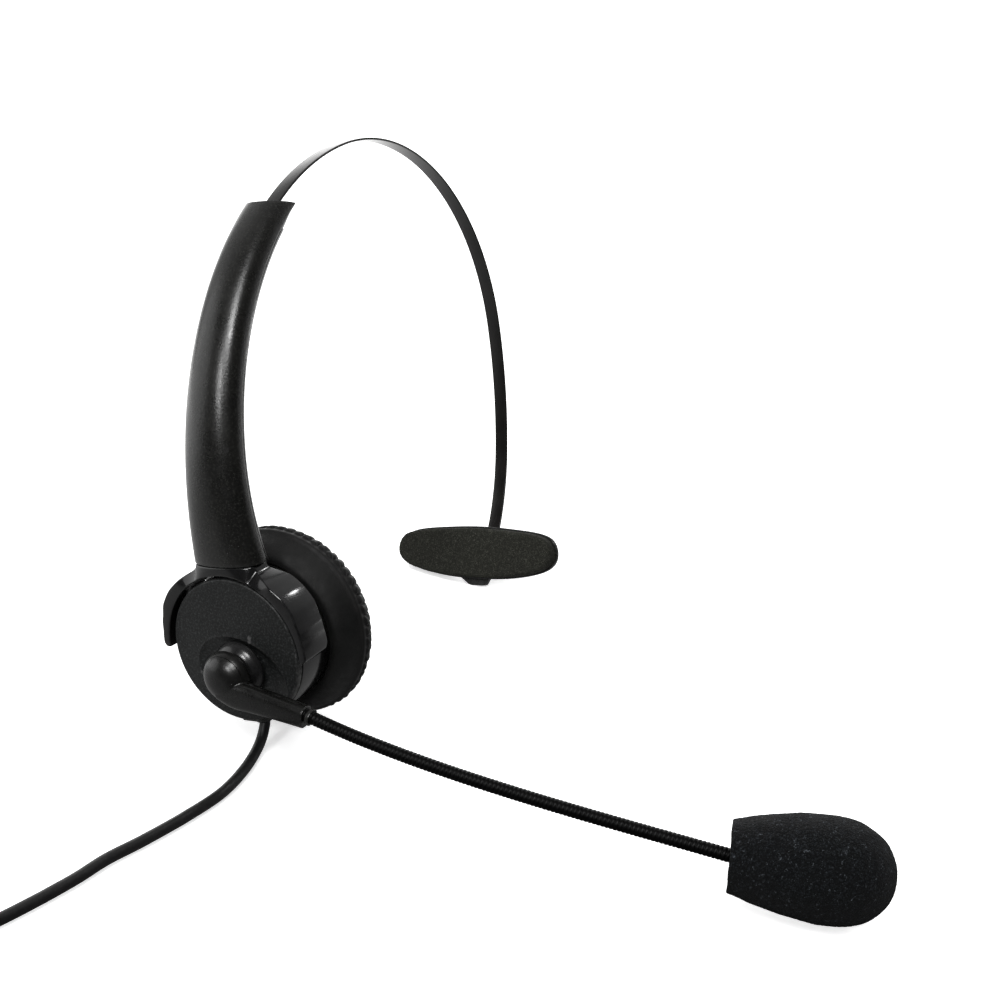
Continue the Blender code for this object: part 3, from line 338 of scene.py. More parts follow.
def box_part(low, high):
    (x0, y0, z0), (x1, y1, z1) = low, high
    rings = [[Vector((x, y0, z0)), Vector((x, y1, z0)), Vector((x, y1, z1)), Vector((x, y0, z1))]
             for x in (x0, x1)]
    return skin(rings)


def push(obj, amount):
    """Move each vertex along its normal by amount(place, normal), in millimetres."""
    normals = [v.normal.copy() for v in obj.data.vertices]
    for vertex, normal in zip(obj.data.vertices, normals):
        vertex.co += normal * amount(vertex.co, normal)
    return obj


# ---------------------------------------------------------------- materials

class Surface:
    """A node material whose patterns are measured in millimetres."""

    def __init__(self, name, metallic=0.0, specular=0.5):
        self.material = bpy.data.materials.new(name)
        self.material.use_nodes = True
        self.tree = self.material.node_tree
        self.shader = self.tree.nodes["Principled BSDF"]
        self.set("Metallic", metallic)
        self.set("Specular IOR Level", specular)
        coordinates = self.node("ShaderNodeTexCoord")
        scale = self.node("ShaderNodeVectorMath", operation="SCALE")
        scale.inputs["Scale"].default_value = 1 / MM
        self.link(coordinates.outputs["Object"], scale.inputs[0])
        self.place = scale.outputs[0]
        self.relief = None

    def node(self, kind, **settings):
        made = self.tree.nodes.new(kind)
        for key, value in settings.items():
            setattr(made, key, value)
        return made

    def link(self, source, target):
        self.tree.links.new(source, target)

    def set(self, name, value):
        self.shader.inputs[name].default_value = value

    def noise(self, per_mm, detail=3.0, rough=0.55, stretch=(1, 1, 1)):
        """Cloudy pattern with features of about 1/per_mm millimetres."""
        place = self.place
        if stretch != (1, 1, 1):
            pull = self.node("ShaderNodeVectorMath", operation="MULTIPLY")
            pull.inputs[1].default_value = stretch
            self.link(place, pull.inputs[0])
            place = pull.outputs[0]
        texture = self.node("ShaderNodeTexNoise")
        texture.inputs["Scale"].default_value = per_mm
        texture.inputs["Detail"].default_value = detail
        texture.inputs["Roughness"].default_value = rough
        self.link(place, texture.inputs["Vector"])
        return texture.outputs["Fac"]

    def cells(self, per_mm, feature="F1"):
        texture = self.node("ShaderNodeTexVoronoi", feature=feature)
        texture.inputs["Scale"].default_value = per_mm
        self.link(self.place, texture.inputs["Vector"])
        return texture.outputs["Distance"]

    def levels(self, value, low, high, to_low=0.0, to_high=1.0):
        spread = self.node("ShaderNodeMapRange")
        spread.inputs["From Min"].default_value = low
        spread.inputs["From Max"].default_value = high
        spread.inputs["To Min"].default_value = to_low
        spread.inputs["To Max"].default_value = to_high
        self.link(value, spread.inputs["Value"])
        return spread.outputs["Result"]

    def join(self, first, second, operation="ADD"):
        node = self.node("ShaderNodeMath", operation=operation)
        for target, value in zip(node.inputs, (first, second)):
            if isinstance(value, (int, float)):
                target.default_value = value
            else:
                self.link(value, target)
        return node.outputs[0]

    def tones(self, share, first, second):
        """A colour between two; each is a colour or another node's output."""
        node = self.node("ShaderNodeMix", data_type="RGBA")
        self.link(share, node.inputs["Factor"])
        for target, value in ((node.inputs[6], first), (node.inputs[7], second)):
            if isinstance(value, tuple):
                target.default_value = (*value, 1.0)
            else:
                self.link(value, target)
        return node.outputs[2]

    def colour(self, output):
        self.link(output, self.shader.inputs["Base Color"])

    def roughness(self, output):
        self.link(output, self.shader.inputs["Roughness"])

    def clouded(self, per_mm, dark, light, detail=4.0, spread=0.15):
        """A colour that drifts between two."""
        cloud = self.levels(self.noise(per_mm, detail), 0.5 - spread, 0.5 + spread)
        return self.tones(cloud, dark, light)

    def uneven(self, per_mm, low, high, detail=3.0):
        """Roughness that drifts between two values."""
        self.roughness(self.levels(self.noise(per_mm, detail), 0.3, 0.7, low, high))

    def bump(self, height, depth, strength=1.0):
        """Stack another relief, depth in millimetres."""
        node = self.node("ShaderNodeBump")
        node.inputs["Strength"].default_value = strength
        node.inputs["Distance"].default_value = depth * MM
        self.link(height, node.inputs["Height"])
        if self.relief:
            self.link(self.relief, node.inputs["Normal"])
        self.relief = node.outputs["Normal"]
        self.link(self.relief, self.shader.inputs["Normal"])

    def edges(self, low=0.51, high=0.56):
        """How far a place is on an outer edge, by pointiness: where handling wears it, and where
        painted highlights on edges and painted shade in folds are placed.
        """
        geometry = self.node("ShaderNodeNewGeometry")
        return self.levels(geometry.outputs["Pointiness"], low, high)


def moulded(name, dark, light, roughness, grain_depth, grain_per_mm=2.6, wear_and_glint_tone=(0.03, 0.03, 0.03),
            specular=0.5, speckle=0.0):
    """Injection-moulded plastic: fine grain, cloudy tone, edges polished by handling and paled; the
    pale edges are wear, and on the cover face a painted highlight.
    """
    look = Surface(name, specular=specular)
    base = look.clouded(0.09, dark, light)
    grains = look.levels(look.noise(1.7, 4.0, 0.75), 0.50, 0.72, 0.0, speckle)
    base = look.tones(grains, base, tuple(6.0 * value for value in light))
    # Edge mask from pointiness: handling wear, and on the cover face a painted highlight on its rim and
    # the dish's crease.
    wear_and_glint = look.join(look.edges(), look.levels(look.noise(0.5), 0.4, 0.7), "MULTIPLY")
    look.colour(look.tones(wear_and_glint, base, wear_and_glint_tone))
    smudge = look.levels(look.noise(0.22, 5.0, 0.6), 0.3, 0.7, roughness[0], roughness[1])
    look.roughness(look.join(smudge, look.join(wear_and_glint, -0.20, "MULTIPLY")))
    look.bump(look.noise(grain_per_mm, 2.0), grain_depth)
    look.bump(look.noise(0.35, 1.0), 0.01, 0.5)
    return look.material


def spring_steel():
    """Black-coated spring steel with fine rolling lines."""
    look = Surface("spring_steel_look", specular=0.28)
    lines = look.noise(2.0, 3.0, 0.6, stretch=(0.08, 3.0, 0.08))
    base = look.clouded(0.12, (0.0050, 0.0047, 0.0044), (0.010, 0.0094, 0.0088), 3.0, 0.2)
    look.colour(look.tones(look.edges(0.52, 0.6), base, (0.006, 0.006, 0.006)))
    look.roughness(look.levels(lines, 0.3, 0.7, 0.14, 0.28))
    look.bump(lines, 0.006)
    return look.material


def machined(name, dark, light, roughness):
    """Bare metal with turning marks and a little tarnish."""
    look = Surface(name, metallic=1.0)
    look.colour(look.clouded(0.6, dark, light))
    marks = look.noise(5.0, 2.0, 0.5, stretch=(1, 0.2, 1))
    look.roughness(look.levels(marks, 0.3, 0.7, roughness - 0.08, roughness + 0.10))
    look.bump(marks, 0.006)
    return look.material


def coil_wire():
    """Black-coated wire of the gooseneck, a little paler where it is rubbed."""
    look = Surface("coil_wire_look", specular=0.1)
    rubbed = look.join(look.edges(0.50, 0.58), look.levels(look.noise(0.8), 0.45, 0.7), "MULTIPLY")
    look.colour(look.tones(rubbed, (0.0008, 0.0008, 0.0008), (0.004, 0.004, 0.004)))
    look.uneven(1.5, 0.34, 0.46)
    look.bump(look.noise(4.0), 0.008)
    return look.material


def leatherette():
    """Thin matte leatherette: pebbled grain with fine cracks, and painted shade darkening its folds."""
    look = Surface("leatherette_look", specular=0.24)
    base = look.clouded(0.15, (0.0022, 0.0023, 0.0022), (0.0055, 0.0056, 0.0053))
    cracks = look.levels(look.cells(1.7, "DISTANCE_TO_EDGE"), 0.0, 0.10)
    lit = look.tones(cracks, (0.0014, 0.0014, 0.0014), base)
    # Painted shade: hollow places, such as the valleys between the pleats, are darkened.
    look.colour(look.tones(look.edges(0.40, 0.49), (0.0006, 0.0006, 0.0006), lit))
    look.uneven(0.4, 0.50, 0.66, 4.0)
    look.set("Sheen Weight", 0.03)
    look.set("Sheen Roughness", 0.5)
    look.bump(cracks, 0.03, 0.7)
    look.bump(look.noise(3.5), 0.02)
    return look.material


def open_foam(name, dark, light, speck, pores_per_mm, pore_depth, blotch_per_mm, sheen):
    """Open-cell foam: dark pores between fibres, with scattered lighter specks."""
    look = Surface(name, specular=0.12)
    pores = look.levels(look.cells(pores_per_mm), 0.15, 0.6)
    mottle = look.levels(look.noise(blotch_per_mm, 6.0, 0.85), 0.43, 0.58)
    base = look.tones(mottle, dark, light)
    flecks = look.levels(look.noise(1.7 * blotch_per_mm, 3.0, 0.85), 0.61, 0.68)
    look.colour(look.tones(flecks, look.tones(pores, base, dark), speck))
    look.roughness(look.levels(mottle, 0.0, 1.0, 0.86, 0.98))
    look.set("Sheen Weight", sheen)
    look.set("Sheen Roughness", 0.6)
    look.bump(pores, pore_depth)
    look.bump(look.noise(2.4, 4.0, 0.8), pore_depth)
    return look.material


def cable_jacket():
    """Soft PVC jacket, slightly blotched and dusty."""
    look = Surface("cable_jacket_look", specular=0.4)
    dust = look.levels(look.noise(0.7, 5.0, 0.7), 0.5, 0.75)
    look.colour(look.tones(dust, (0.0050, 0.0050, 0.0052), (0.013, 0.013, 0.013)))
    look.uneven(0.3, 0.40, 0.56)
    look.bump(look.noise(1.6, 3.0), 0.02)
    return look.material


def circuit_board():
    look = Surface("board_green_look")
    tracks = look.levels(look.cells(0.8, "DISTANCE_TO_EDGE"), 0.02, 0.07)
    mask = look.tones(look.noise(0.4), (0.015, 0.10, 0.04), (0.025, 0.15, 0.06))
    look.colour(look.tones(tracks, (0.05, 0.24, 0.09), mask))
    look.uneven(1.0, 0.3, 0.45)
    look.bump(tracks, 0.03)
    return look.material


def woven_felt(name, dark, light):
    """Thin felt with crossing fibres."""
    look = Surface(name, specular=0.2)
    along = look.noise(3.0, 3.0, 0.7, stretch=(1, 0.25, 1))
    across = look.noise(3.0, 3.0, 0.7, stretch=(1, 1, 0.25))
    fibres = look.levels(look.join(along, across, "MAXIMUM"), 0.4, 0.8)
    look.colour(look.tones(fibres, dark, light))
    look.roughness(look.levels(fibres, 0.0, 1.0, 0.9, 0.98))
    look.set("Sheen Weight", 0.2)
    look.bump(fibres, 0.06)
    return look.material


def film():
    look = Surface("diaphragm_film_look")
    look.colour(look.clouded(0.5, (0.38, 0.33, 0.22), (0.50, 0.45, 0.32), 3.0, 0.2))
    look.uneven(2.0, 0.28, 0.42)
    look.bump(look.noise(1.2), 0.02)
    return look.material


def clear_plastic():
    """Clear plug plastic with a faint haze and handling marks."""
    look = Surface("clear_plastic_look")
    look.colour(look.clouded(0.5, (0.78, 0.82, 0.84), (0.90, 0.92, 0.93)))
    look.set("Transmission Weight", 0.85)
    look.set("IOR", 1.49)
    look.uneven(1.4, 0.06, 0.22, 4.0)
    look.bump(look.noise(0.8), 0.01)
    return look.material


SATIN = moulded("satin_plastic_look", (0.0038, 0.0038, 0.0035), (0.0075, 0.0075, 0.0068),
                (0.24, 0.33), 0.040, 1.6, speckle=0.55)
# Painted shade: the boom arm is the same satin plastic as the headband arm, in this darker copy.
BOOM_SHADED = moulded("boom_plastic_shaded_look", (0.0018, 0.0018, 0.0017), (0.0034, 0.0034, 0.0031),
               (0.24, 0.32), 0.030, 1.6, speckle=0.4)
# The cover face's pale edge tone is a painted highlight along its rounded rim and the dish's crease.
FACE = moulded("cover_face_look", (0.0042, 0.0046, 0.0046), (0.0076, 0.0082, 0.0082),
               (0.42, 0.52), 0.080, 1.5, wear_and_glint_tone=(0.12, 0.12, 0.12), specular=0.33, speckle=1.0)
DOME = moulded("hub_dome_look", (0.0050, 0.0050, 0.0052), (0.0080, 0.0080, 0.0082),
               (0.20, 0.28), 0.010, 1.6, speckle=0.2)
GLOSS = moulded("gloss_plastic_look", (0.0034, 0.0034, 0.0036), (0.0055, 0.0056, 0.0058),
                (0.11, 0.16), 0.004, 1.2, specular=0.5, speckle=0.1)
WHITE = moulded("white_plastic_look", (0.55, 0.55, 0.51), (0.66, 0.66, 0.62), (0.4, 0.5), 0.012,
                wear_and_glint_tone=(0.7, 0.7, 0.68))
BAND = spring_steel()
STEEL = machined("steel_look", (0.42, 0.42, 0.43), (0.60, 0.60, 0.61), 0.30)
BRASS = machined("brass_look", (0.52, 0.38, 0.16), (0.68, 0.52, 0.26), 0.28)
COIL = coil_wire()
LEATHER = leatherette()
MIC_FOAM = open_foam("mic_foam_look", (0.0010, 0.0013, 0.0016), (0.0125, 0.0150, 0.0180),
                     (0.060, 0.067, 0.076), 2.0, 0.16, 0.55, 0.03)
PAD_FOAM = open_foam("pad_foam_look", (0.0130, 0.0133, 0.0108), (0.0560, 0.0572, 0.0470),
                     (0.066, 0.067, 0.058), 2.6, 0.06, 0.9, 0.0)
JACKET = cable_jacket()
BOARD = circuit_board()
FELT = woven_felt("felt_look", (0.010, 0.010, 0.010), (0.035, 0.035, 0.035))
FILM = film()
CLEAR = clear_plastic()

CARRIED_OVER = (
    (STEEL, ("trunnion_pin_front", "trunnion_pin_rear", "baffle_screw_1", "baffle_screw_2",
             "baffle_screw_3", "driver_magnet", "driver_back_cup", "boom_friction_washer",
             "boom_pivot_screw", "mic_capsule", "detent_spring", "tpad_pin")),
    (WHITE, ("driver_frame", "boom_retaining_ring", "band_slider")),
    (SATIN, ("speaker_baffle", "mic_holder")),
    (BRASS, ("plug_contact_1", "plug_contact_2", "plug_contact_3", "plug_contact_4")),
    (BOARD, ("terminal_board",)),
    (FILM, ("driver_diaphragm",)),
)


# ---------------------------------------------------------------- ear cup

def dish_share(y, z):
    """1 on the dish's oval edge, 0 at its centre."""
    across, up = y - DISH_CENTRE[0], z - DISH_CENTRE[1]
    along = across * math.cos(DISH_TURN) + up * math.sin(DISH_TURN)
    side = up * math.cos(DISH_TURN) - across * math.sin(DISH_TURN)
    return math.hypot(along / DISH_HALVES[0], side / DISH_HALVES[1])


def dish_depth(y, z):
    slope = min(max((1 - dish_share(y, z)) / 0.28, 0.0), 1.0)
    return DISH_SAG * math.sin(slope * math.pi / 2)


def dish_reach(angle):
    """Distance from the boom's pivot to the dish's edge, in one direction."""
    low, high = 0.0, 30.0
    for _ in range(40):
        middle = (low + high) / 2
        place = (PIVOT[0] + middle * math.cos(angle), PIVOT[1] + middle * math.sin(angle))
        low, high = (middle, high) if dish_share(*place) < 1 else (low, middle)
    return low


def rim_reach(angle, radius):
    """Distance from the boom's pivot to a circle about the cup's centre."""
    along = PIVOT[0] * math.cos(angle) + PIVOT[1] * math.sin(angle)
    return -along + math.sqrt(along ** 2 + radius ** 2 - PIVOT[0] ** 2 - PIVOT[1] ** 2)


def cover():
    """The disc with its scooped dish, round the shaft's hole."""
    angles = turns(240)
    flat = CUP_RADIUS - COVER_EDGE
    rings = []

    def ring(reach, depth=None):
        row = []
        for i, a in enumerate(angles):
            y = PIVOT[0] + reach[i] * math.cos(a)
            z = PIVOT[1] + reach[i] * math.sin(a)
            row.append(cup_point(dish_depth(y, z) if depth is None else depth, y, z))
        rings.append(row)
    hole = [SHAFT_HOLE] * len(angles)
    dish = [dish_reach(a) for a in angles]
    rim = [rim_reach(a, flat) for a in angles]
    ring(hole, COVER_THICKNESS)
    for k in range(25):
        ring([mix(h, d, ease(k / 24) * 0.985) for h, d in zip(hole, dish)])
    for share in (0.9, 1.0):
        ring([mix(h, d, 0.985 + 0.015 * share) for h, d in zip(hole, dish)])
    for k in range(1, 13):
        ring([mix(d, r, k / 12) for d, r in zip(dish, rim)], 0.0)
    for k in range(1, 7):
        bend = k / 6 * math.pi / 2
        reach = [rim_reach(a, flat + COVER_EDGE * math.sin(bend)) for a in angles]
        ring(reach, COVER_EDGE * (1 - math.cos(bend)))
    outer = [rim_reach(a, CUP_RADIUS) for a in angles]
    ring(outer, COVER_THICKNESS - 0.15)
    ring([rim_reach(a, CUP_RADIUS - 0.15) for a in angles], COVER_THICKNESS)
    lip = CUP_RADIUS - CUP_WALL - 0.3
    for radius, depth in ((lip, 0.0), (lip, 0.8), (lip - 1.2, 0.8), (lip - 1.2, 0.0)):
        ring([rim_reach(a, radius) for a in angles], COVER_THICKNESS + depth)
    settle(shape("cup_cover_look", skin(rings, closed=True)), "earcup", FACE, "satin_plastic",
           "cup_cover", crease=math.radians(20))


def cup_body():
    """The glossy wall between the cover and the cushion."""
    inner = CUP_RADIUS - CUP_WALL
    outline = rounded([(CUP_RADIUS, COVER_THICKNESS + 0.3), (CUP_RADIUS, CUP_BACK_DEPTH),
                       (inner, CUP_BACK_DEPTH), (inner, COVER_THICKNESS + 0.3)], 0.3)
    rings = [cup_ring(radius, depth, 220) for radius, depth in outline]
    settle(shape("cup_body_look", skin(rings, closed=True)), "earcup", GLOSS, "gloss_plastic",
           "cup_body")


def cushion_outline():
    """The cover's outer profile as (radius, depth), from the skirt's lip to the opening."""
    points = [(20.7, 14.7), (22.4, 14.9), (24.5, 17.0), (27.1, 21.8), (27.8, 23.2), (27.4, 25.2),
              (25.7, 27.8), (23.7, 29.4), (21.4, 30.0), (16.4, 30.0), (13.9, 29.1), (12.2, 27.0),
              (11.5, 24.4), (11.5, 19.4)]
    return smooth_path([Vector((r, d, 0)) for r, d in points], 8)


def gather(angle, phase):
    """Depth of the pleats round the gathered band: sharp valleys between soft lobes."""
    drift = 0.7 * noise.noise(Vector((math.cos(angle), math.sin(angle), phase)) * 2.3)
    lobe = abs(math.sin(PLEATS / 2 * angle + drift))
    strength = 0.7 + 0.5 * noise.noise(Vector((math.cos(angle), math.sin(angle), 7.0)) * 9.0)
    return strength * (1 - lobe) ** 1.7


def cushion_offset(step, angle, profile_length):
    """How far the cover stands off its plain profile, in millimetres."""
    seam = step - profile_length
    piping = 0.38 * math.exp(-(seam / 0.55) ** 2)
    stitch = -0.32 * math.exp(-((seam - 1.15) / 0.35) ** 2)
    band = ease((seam - 0.7) / 1.4) * ease((10.0 - seam) / 5.0)
    skirt = ease((-seam - 0.5) / 2.0) * ease((seam + 9.5) / 2.0)
    place = Vector((math.cos(angle), math.sin(angle), 0))
    wave = noise.noise(place * 3.0 + Vector((0, 0, seam * 0.12)))
    fine = noise.noise(place * 14.0 + Vector((0, 0, seam * 0.5)))
    return (piping + stitch - PLEAT_DEPTH * band * gather(angle, seam * 0.25)
            + 0.22 * band * fine + 0.18 * skirt * wave + 0.05 * skirt * fine)


def cushion():
    """Leatherette cover: smooth skirt, piped seam, gathered band and rolled opening."""
    path = resample(cushion_outline(), CUSHION_STEP)
    lengths = [CUSHION_STEP * i for i in range(len(path))]
    seam_at = min(range(len(path)), key=lambda i: (path[i] - CUSHION_SEAM).length)
    count = PLEATS * 9
    rings = []
    for i, point in enumerate(path):
        tangent = path[min(i + 1, len(path) - 1)] - path[max(i - 1, 0)]
        outward = Vector((tangent.y, -tangent.x, 0)).normalized()
        ring = []
        for a in turns(count):
            offset = cushion_offset(lengths[i], a, lengths[seam_at])
            spot = point + outward * offset
            ring.append(cup_point(spot.y, spot.x * math.cos(a), spot.x * math.sin(a)))
        rings.append(ring)
    inner = [(12.3, 19.4), (12.3, 24.3), (14.4, 28.3), (21.3, 28.9), (25.0, 27.0), (26.4, 23.6),
             (23.9, 17.6), (22.1, 15.6), (20.7, 15.5)]
    rings += [cup_ring(radius, depth, count) for radius, depth in inner]
    settle(shape("ear_cushion_cover_look", skin(rings, closed=True)), "earcup", LEATHER,
           "leatherette", "ear_cushion_cover", crease=math.radians(80))


def cushion_filling():
    """The foam ring inside the cover and the felt over the speaker."""
    outline = smooth_path([Vector((r, d, 0)) for r, d in (
        (23.6, 18.5), (26.0, 22.6), (25.9, 24.6), (24.4, 26.8), (21.2, 28.4), (16.6, 28.4),
        (14.2, 27.0), (12.9, 24.2), (12.9, 18.5))], 4)
    foam = shape("ear_cushion_foam_look",
                 skin([cup_ring(p.x, p.y, 120) for p in outline], closed=True))
    push(foam, lambda place, normal: 0.15 * noise.noise(place * 0.9))
    settle(foam, "earcup", PAD_FOAM, "foam", "ear_cushion_foam", crease=math.radians(80))
    rows = [(10.95 * k / 40, 18.1 - 0.15 * (k / 40) ** 4) for k in range(41)]
    rows += [(11.0, 17.8), (10.9, 17.5), (0.0, 17.5)]
    felt = shape("speaker_felt_look", skin([cup_ring(r, d, 90) for r, d in rows], caps=False))
    push(felt, lambda place, normal: 0.05 * noise.noise(place * 1.4))
    settle(felt, "earcup", FELT, "felt", "speaker_felt", crease=math.radians(60))


# ---------------------------------------------------------------- yoke

def arm_half_depth(y):
    """Half of the arm's D-shaped section at its base, at a distance from its middle."""
    share = min(abs(y) / 11.0, 0.93)
    return 5.5 * (1 - share ** 2.2) ** (1 / 2.2)


def yoke_outer(angle):
    """The fork's outer radius: round legs, shoulders, and the flat seat under the arm."""
    turn = abs(math.degrees(angle))
    shoulders = ((0, 24.0), (21, 25.6), (27, 24.40), (40, 24.65), (50, 24.95), (59, 24.95),
                 (70, 24.2), (80, 23.8), (180, 23.7))
    if turn < 21:
        return 23.85 / math.cos(angle)
    for (start, low), (end, high) in zip(shoulders[1:], shoulders[2:]):
        if turn <= end:
            return mix(low, high, ease((turn - start) / (end - start)))
    return YOKE_OUTER


def yoke():
    """The C-shaped fork, lofted round the cup, its back corners cut round at the legs' ends."""
    start, end = YOKE_ENDS
    middle, half = (YOKE_FRONT + YOKE_BACK) / 2, (YOKE_BACK - YOKE_FRONT) / 2
    count = 300
    rings = []
    for i in range(count + 1):
        angle = mix(start, end, i / count)
        left = min(angle - start, end - angle) * YOKE_OUTER
        within = max(YOKE_CORNER - left, 0)
        corner = YOKE_CORNER - math.sqrt(max(YOKE_CORNER ** 2 - within ** 2, 0))
        thinning = 0.9 * max(1 - left / 1.4, 0) ** 2
        outer = yoke_outer(angle) - thinning
        y, z = outer * math.sin(angle), outer * math.cos(angle)
        narrow = mix(half, arm_half_depth(y), ease((z - 18.6) / 4.6))
        front_in, back_in = YOKE_FRONT, YOKE_BACK - corner
        front_out = middle - narrow
        back_out = min(middle + narrow, back_in)
        section = rounded([(YOKE_INNER, front_in), (outer, front_out), (outer, back_out),
                           (YOKE_INNER, back_in)], 0.45, 4)
        rings.append([cup_point(d, r * math.sin(angle), r * math.cos(angle)) for r, d in section])
    stub = box_part((middle - CUP_DEPTH - 2.4, -6.2, 22.5), (middle - CUP_DEPTH + 2.0, 6.2, 30.0))
    settle(shape("yoke_look", skin(rings), stub), "arm", GLOSS, "gloss_plastic", "yoke")


# ---------------------------------------------------------------- arm

def band_point(slope, outwards=0.0, y=0.0):
    """A point on the arm's circle where the band's tangent has the given slope."""
    radius = BAND_RADIUS + outwards
    return BAND_CENTRE + Vector((-radius * math.sin(slope), y, radius * math.cos(slope)))


def arm_section(width, out, inwards, lowest, highest, count):
    """Points (y, n) of the arm's D-shaped section between two angles; n counts outwards."""
    points = []
    for i in range(count):
        angle = math.radians(lowest + (highest - lowest) * i / (count - 1))
        bulge = 2.2 if math.sin(angle) >= 0 else 3.0
        reach = out if math.sin(angle) >= 0 else inwards
        points.append((width * signed_power(math.cos(angle), 2 / bulge),
                       reach * signed_power(math.sin(angle), 2 / bulge)))
    return points


def arm_slope(share, outwards):
    """Slope at a share of the arm's length; base and mouth are cut by flat planes."""
    radius = BAND_RADIUS + outwards
    base = math.acos((ARM_BASE_Z - BAND_CENTRE.z) / radius)
    mouth_distance = BAND_RADIUS * math.cos(ARM_MOUTH_SLOPE + ARM_MOUTH_CUT)
    mouth = math.acos(mouth_distance / radius) - ARM_MOUTH_CUT
    return base + (mouth - base) * share


def arm_half_width(share):
    return 6.9 + 1.0 * (1 - share) + 3.1 * math.exp(-share / 0.25)


def arm_reach(share):
    """How far the section reaches outwards and inwards from the band's circle."""
    return 5.5 - 0.9 * share, 5.3 - 1.1 * share


def arm_ring(share, lowest, highest, count, sunk=0.0):
    """A C-shaped wall section between two angles, its inner side sunk by a little."""
    width = arm_half_width(share)
    out, inwards = arm_reach(share)
    inwards -= sunk
    outside = arm_section(width, out, inwards, lowest, highest, count)
    inside = arm_section(width - ARM_WALL, out - ARM_WALL, inwards - ARM_WALL, highest, lowest,
                         count)
    return [band_point(arm_slope(share, n), n, y) for y, n in outside + inside]


def shares(start, end, count):
    return [mix(start, end, i / count) for i in range(count + 1)]


def arm():
    """The outer shell with its mouth collar, the inner cover, its screws and the guide."""
    shell = skin([arm_ring(s, -10, 190, 72) for s in shares(0, 1, 90)])
    start = INNER_COVER_END - 0.01
    collar = skin([arm_ring(s, 189, 351, 40, mix(*COLLAR_SUNK, ease((s - start) / (1 - start))))
                   for s in shares(start, 1, 12)])
    settle(soften(shape("arm_outer_look", shell, collar), 0.14, 2, math.radians(50)), "arm",
           SATIN, "satin_plastic", "arm_outer_shell")
    lid = shape("arm_inner_look",
                skin([arm_ring(s, 194, 346, 48) for s in shares(0, INNER_COVER_END, 80)]))
    for slope in SCREW_SLOPES:
        origin = band_point(slope, -9.0)
        bore = axis_rings([(2.3, 0.0), (2.3, 4.9)], origin, band_point(slope) - origin, 40)
        combine(lid, shape("bore", skin(bore)), "DIFFERENCE")
    settle(soften(lid, 0.14, 2, math.radians(50)), "arm", SATIN, "satin_plastic",
           "arm_inner_cover")
    for number, slope in enumerate(SCREW_SLOPES, 1):
        screw(f"arm_screw_{number}", slope)
    band_guide()


def screw(node, slope):
    """A pan head with a cross recess, on its shank."""
    origin = band_point(slope, -4.4)
    inward = (BAND_CENTRE - origin).normalized()
    profile = [(SCREW_HEAD * k / 24, 0.7 - 0.28 * (k / 24) ** 3) for k in range(25)]
    profile += [(SCREW_HEAD, 0.0), (0.8, 0.0), (0.8, -6.2), (0.0, -6.8)]
    rings = axis_rings(profile, Vector(), Vector((0, 0, 1)), 72)
    for ring in rings[:25]:
        for point in ring:
            arm_of_cross = min(abs(point.x), abs(point.y)) < 0.24
            if arm_of_cross and max(abs(point.x), abs(point.y)) < 1.15:
                point.z -= 0.45
    turn = Vector((0, 0, 1)).rotation_difference(inward).to_matrix()
    rings = [[origin + turn @ point for point in ring] for ring in rings]
    settle(shape(node + "_look", skin(rings, caps=False)), "arm", STEEL, "steel", node,
           crease=math.radians(25))


def band_guide():
    """The slotted bush in the arm's mouth."""
    rings_out, rings_in = [], []
    count = 120
    for share in shares(0.95, 0.993, 6):
        width = arm_half_width(share) - ARM_WALL - 0.3
        out, inwards = arm_reach(share)
        section = arm_section(width, out - ARM_WALL - 0.3, inwards - ARM_WALL - 1.95, 0,
                              360 - 360 / count, count)
        rings_out.append([band_point(arm_slope(share, n), n, y) for y, n in section])
        slot = []
        for y, n in section:
            scale = max(abs(y) / (STRIP_WIDTH / 2 + 0.3), abs(n) / (STRIP_THICKNESS / 2 + 0.3))
            slot.append((y / scale, n / scale))
        rings_in.append([band_point(arm_slope(share, n), n, y) for y, n in slot])
    guide = shape("band_guide_look", skin(rings_out + rings_in[::-1], closed=True))
    settle(guide, "arm", SATIN, "satin_plastic", "band_guide")


def strip_rings(section):
    """Sections of (y, outwards) points along the strip, from inside the arm to its low end."""
    rings = []
    centre, start = BAND_CENTRE.copy(), ARM_MOUTH_SLOPE + STRIP_HIDDEN / BAND_RADIUS
    previous = BAND_RADIUS
    for radius, end in STRIP_ARCS:
        outward = Vector((-math.sin(start), 0, math.cos(start)))
        centre = centre + outward * (previous - radius)
        count = math.ceil((start - end) / math.radians(0.7))
        last = end == STRIP_ARCS[-1][1]
        for i in range(count + last):
            slope = mix(start, end, i / count)
            outward = Vector((-math.sin(slope), 0, math.cos(slope)))
            rings.append([centre + outward * (radius + n) + Vector((0, y, 0))
                          for y, n in section])
        previous, start = radius, end
    return rings


def strip():
    half_y, half_n = STRIP_WIDTH / 2, STRIP_THICKNESS / 2
    corners = [(-half_y, -half_n), (half_y, -half_n), (half_y, half_n), (-half_y, half_n)]
    obj = shape("headband_strip_look", skin(strip_rings(rounded(corners, 0.24, 4))))
    settle(obj, "band", BAND, "spring_steel", "headband_strip")


# ---------------------------------------------------------------- T-pad

def tpad_point(y, up, back):
    """A point from the pad's own axes: along the pad, up its face and away from the ear."""
    up_axis = Vector((math.sin(TPAD_TILT), 0, math.cos(TPAD_TILT)))
    back_axis = Vector((math.cos(TPAD_TILT), 0, -math.sin(TPAD_TILT)))
    return TPAD_CENTRE + up_axis * up + back_axis * back + Vector((0, y, 0))


